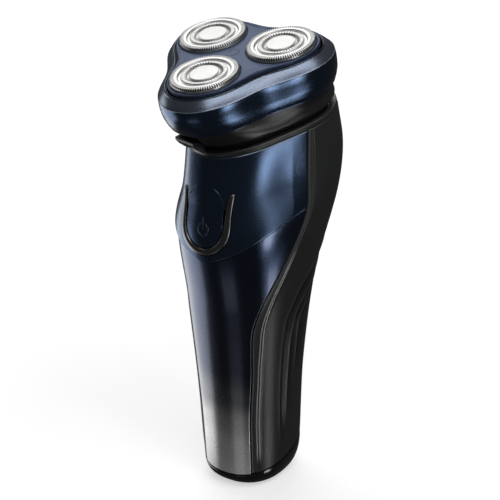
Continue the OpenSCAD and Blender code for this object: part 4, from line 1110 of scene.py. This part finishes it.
def shaving_guard(k):
    """A guard turned from one closed profile: the cone round the cap, an inner track, a groove, the outer track,
    its rounded edge, the side and the flange, then back along the inside. Ninety slots run out over the
    edge and down the side and forty-five cross the inner track: along each, the surface sinks."""
    outside = along([(4.7, -0.66), (5.12, -0.74), (5.25, -0.84), (5.45, -0.76), (6.45, -0.12), (6.65, -0.05),
            (7.5, -0.05), (7.7, -0.1),
                     (7.86, -0.28), (7.95, -0.62), (8.08, -0.72), (8.72, -0.72), (8.85, -0.62), (8.94, -0.28),
                     (9.08, -0.1),
                     (9.3, -0.02), (9.5, 0.0), (10.95, 0.0), (11.2, -0.025), (11.45, -0.1), (11.64, -0.25),
                     (11.75, -0.45),
                     (11.8, -0.75), (11.8, -3.1)], 0.34)
    inside = np.array([(12.42, -3.12), (12.45, -3.2), (12.45, -3.8), (12.4, -3.86), (11.1, -3.86),
            (11.1, -0.66), (9.3, -0.66),
                       (9.05, -1.2), (7.75, -1.2), (7.5, -0.66), (6.0, -0.66), (5.8, -1.2), (4.7, -1.2)])
    profile = np.concatenate([outside, inside])
    n_out = len(outside)
    step = np.gradient(outside, axis=0)
    normal = np.stack([-step[:, 1], step[:, 0]], -1) / np.hypot(step[:, 0], step[:, 1])[:, None]
    normal = np.concatenate([normal, np.zeros_like(inside)])
    r, h = profile[:, 0], profile[:, 1]
    cols = np.array([-1.2, -0.85, 0.0, 0.85, 1.2, 2.0])
    a = (np.arange(SLOTS)[:, None] * (360 / SLOTS) + cols).ravel()
    cut = np.abs(cols)[None, :].repeat(SLOTS, 0).ravel()
    gate = 1 - smooth((cut - 0.85) / 0.35)
    second = (np.arange(SLOTS) % 2 == 0).repeat(len(cols))
    upper = np.arange(len(profile)) < n_out
    rim_zone = upper * smooth((r - 10.15) / 0.25) * smooth((h + 1.15) / 0.2)
    inner_zone = upper * smooth((r - 5.75) / 0.2) * (1 - smooth((r - 7.15) / 0.2))
    # mask sinks the slots and, stored as the slot mark, paints them dark inside as shade
    mask = rim_zone[:, None] * gate + inner_zone[:, None] * gate * second
    rr = r[:, None] - SLOT_SINK * mask * normal[:, :1]
    hh = h[:, None] - SLOT_SINK * mask * normal[:, 1:]
    points = at_guard(k, rr, a[None, :] + 0 * rr, hh)
    return make_piece(f"shaving_guard_{k + 1}", points.reshape(-1, 3),
            [grid_faces(len(profile), len(a), True, True)],
                      f"guard_{k + 1}_float", [f"guard_{k + 1}"], [STEEL],
                      {"slot_shade": mask.ravel()})


def cap_disc(k):
    """The guard's cap: a turned disc with a slightly domed top, a rounded edge and a shallow turned ring."""
    profile = along([(0, -0.03), (3.6, -0.035), (3.9, -0.07), (4.15, -0.07), (4.4, -0.05), (4.75, -0.08),
            (4.92, -0.15),
                     (5.02, -0.27), (5.05, -0.4), (5.05, -0.6), (0, -0.6)], 0.45)
    a = np.linspace(0, 360, 180, endpoint=False)
    r, h = profile[:, :1] + 0 * a, profile[:, 1:] + 0 * a
    points = at_guard(k, r, a + 0 * r, h)
    return make_piece(f"cap_disc_{k + 1}", points.reshape(-1, 3), [grid_faces(len(profile), len(a), True)],
                      f"guard_{k + 1}_float", [f"guard_cap_{k + 1}"], [CAP_PALE],
                      {"radius": r.ravel()}, weld=True)


# ------------------------------------------------------------------ all pieces
grip_shell()
front_panel()
cover_shell()
push_button()
trim_bow()
foot_cap()
neck_collar()
opening_tab()
slate_plate()
head_shell()
hair_box()
for k in range(3):
    shaving_guard(k)
    cap_disc(k)

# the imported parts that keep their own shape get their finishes, by the first of these words in their names
CARRIED = (
    ("charge_socket", INLET), ("motor", MOTOR_STEEL), ("retainer", RETAINER), ("battery", CELL),
    ("cutter", CUTTER),
    ("gear", GEAR_WHITE), ("chassis", GEAR_WHITE), ("hub", GEAR_WHITE), ("pin", PIN_METAL),
    ("screw", PIN_METAL),
    ("board", BOARD), ("switch", SWITCH))
for name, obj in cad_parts.items():
    chosen = next((look for word, look in CARRIED if word in name), DECK)
    for place in obj.material_slots:
        place.material = chosen

# ------------------------------------------------------------------ floor, light and camera
def floor_finish():
    m = bpy.data.materials.new("floor_pale")
    m.use_nodes = True
    tree = m.node_tree
    shader = tree.nodes["Principled BSDF"]
    place = tree.nodes.new("ShaderNodeTexCoord").outputs["Object"]
    tone = noise(tree, place, 8.0, 2.0)
    tree.links.new(mix(tree, tone, (0.86, 0.86, 0.86), (0.90, 0.90, 0.90)), shader.inputs["Base Color"])
    shader.inputs["Roughness"].default_value = 0.9
    shader.inputs["Specular IOR Level"].default_value = 0.1
    shader.inputs["Emission Color"].default_value = (1, 1, 1, 1)
    shader.inputs["Emission Strength"].default_value = 0.58
    return m


FLOOR_HALF, FLOOR_Z = 6, -0.0002
floor_mesh = bpy.data.meshes.new("floor")
floor_mesh.from_pydata([(x * FLOOR_HALF, y * FLOOR_HALF, FLOOR_Z) for x,
        y in ((-1, -1), (1, -1), (1, 1), (-1, 1))], [], [(0, 1, 2, 3)])
floor_mesh.materials.append(floor_finish())
floor = bpy.data.objects.new("floor", floor_mesh)
bpy.context.scene.collection.objects.link(floor)
floor.visible_glossy = floor.visible_diffuse = False

AIM = Vector((0, 0, 0.09))


def softbox(name, azimuth, rise, distance, wide, tall, power, aim=AIM):
    """A rectangular lamp on a sphere round the object, facing it."""
    lamp = bpy.data.lights.new(name, "AREA")
    lamp.shape, lamp.size, lamp.size_y, lamp.energy = "RECTANGLE", wide, tall, power
    obj = bpy.data.objects.new(name, lamp)
    a, e = math.radians(azimuth), math.radians(rise)
    way = Vector((math.cos(a) * math.cos(e), math.sin(a) * math.cos(e), math.sin(e)))
    side = Vector((-math.sin(a), math.cos(a), 0))
    up = way.cross(side)
    obj.matrix_world = Matrix((side, up, way)).transposed().to_4x4()
    obj.matrix_world.translation = aim + way * distance
    obj.visible_camera = False
    bpy.context.scene.collection.objects.link(obj)


softbox("softbox_left", -173, -24, 1.3, 1.35, 0.74, 6.4)
softbox("edge_left", -178, 11, 1.3, 0.5, 0.34, 0.9)
softbox("strip_low", -14, -14, 1.3, 0.24, 0.42, 3.0)
softbox("strip_high", -15, 18, 1.3, 0.22, 0.95, 1.3)
softbox("fill_foot", -90, -32, 0.42, 0.18, 0.10, 0.032, aim=Vector((0, 0, 0.0)))
softbox("fill_skirt", -1, -42, 0.9, 0.20, 0.20, 0.75, aim=Vector((0, 0, 0.14)))
softbox("softbox_top", 135, 50, 1.4, 1.3, 1.0, 7.6)
softbox("softbox_bevel", -25, 56, 1.3, 1.3, 0.5, 5.4)

world = bpy.data.worlds.new("studio")
world.use_nodes = True
wn, wl = world.node_tree.nodes, world.node_tree.links
dim = wn["Background"]
dim.inputs["Color"].default_value, dim.inputs["Strength"].default_value = (1, 1, 1, 1), 0.048
pale = wn.new("ShaderNodeBackground")
pale.inputs["Color"].default_value, pale.inputs["Strength"].default_value = (1, 1, 1, 1), 1.0
pick = wn.new("ShaderNodeMixShader")
wl.new(wn.new("ShaderNodeLightPath").outputs["Is Camera Ray"], pick.inputs[0])
wl.new(dim.outputs[0], pick.inputs[1])
wl.new(pale.outputs[0], pick.inputs[2])
wl.new(pick.outputs[0], wn["World Output"].inputs[0])
bpy.context.scene.world = world

LENS, SHIFT_X, SHIFT_Y, CAMERA_AT, CAMERA_AIM = 105.59, 0.0127, 0.0373, 0.52028, 0.080
turn, dip, roll = math.radians(37.205), math.radians(23.404), math.radians(2.995)
right = Vector((math.cos(turn), math.sin(turn), 0))
ahead = Vector((-math.sin(turn) * math.cos(dip), math.cos(turn) * math.cos(dip), -math.sin(dip)))
up = right.cross(ahead)
cam = bpy.data.cameras.new("camera")
cam.lens, cam.sensor_width, cam.shift_x, cam.shift_y = LENS, 36.0, SHIFT_X, SHIFT_Y
cam.clip_start, cam.clip_end = 0.01, 20.0
camera = bpy.data.objects.new("camera", cam)
camera.matrix_world = Matrix((right * math.cos(roll) - up * math.sin(roll),
        right * math.sin(roll) + up * math.cos(roll), -ahead)).transposed().to_4x4()
camera.matrix_world.translation = Vector((0, 0, CAMERA_AIM)) - ahead * CAMERA_AT
bpy.context.scene.collection.objects.link(camera)
bpy.context.scene.camera = camera
bpy.context.scene.view_settings.view_transform = "Standard"
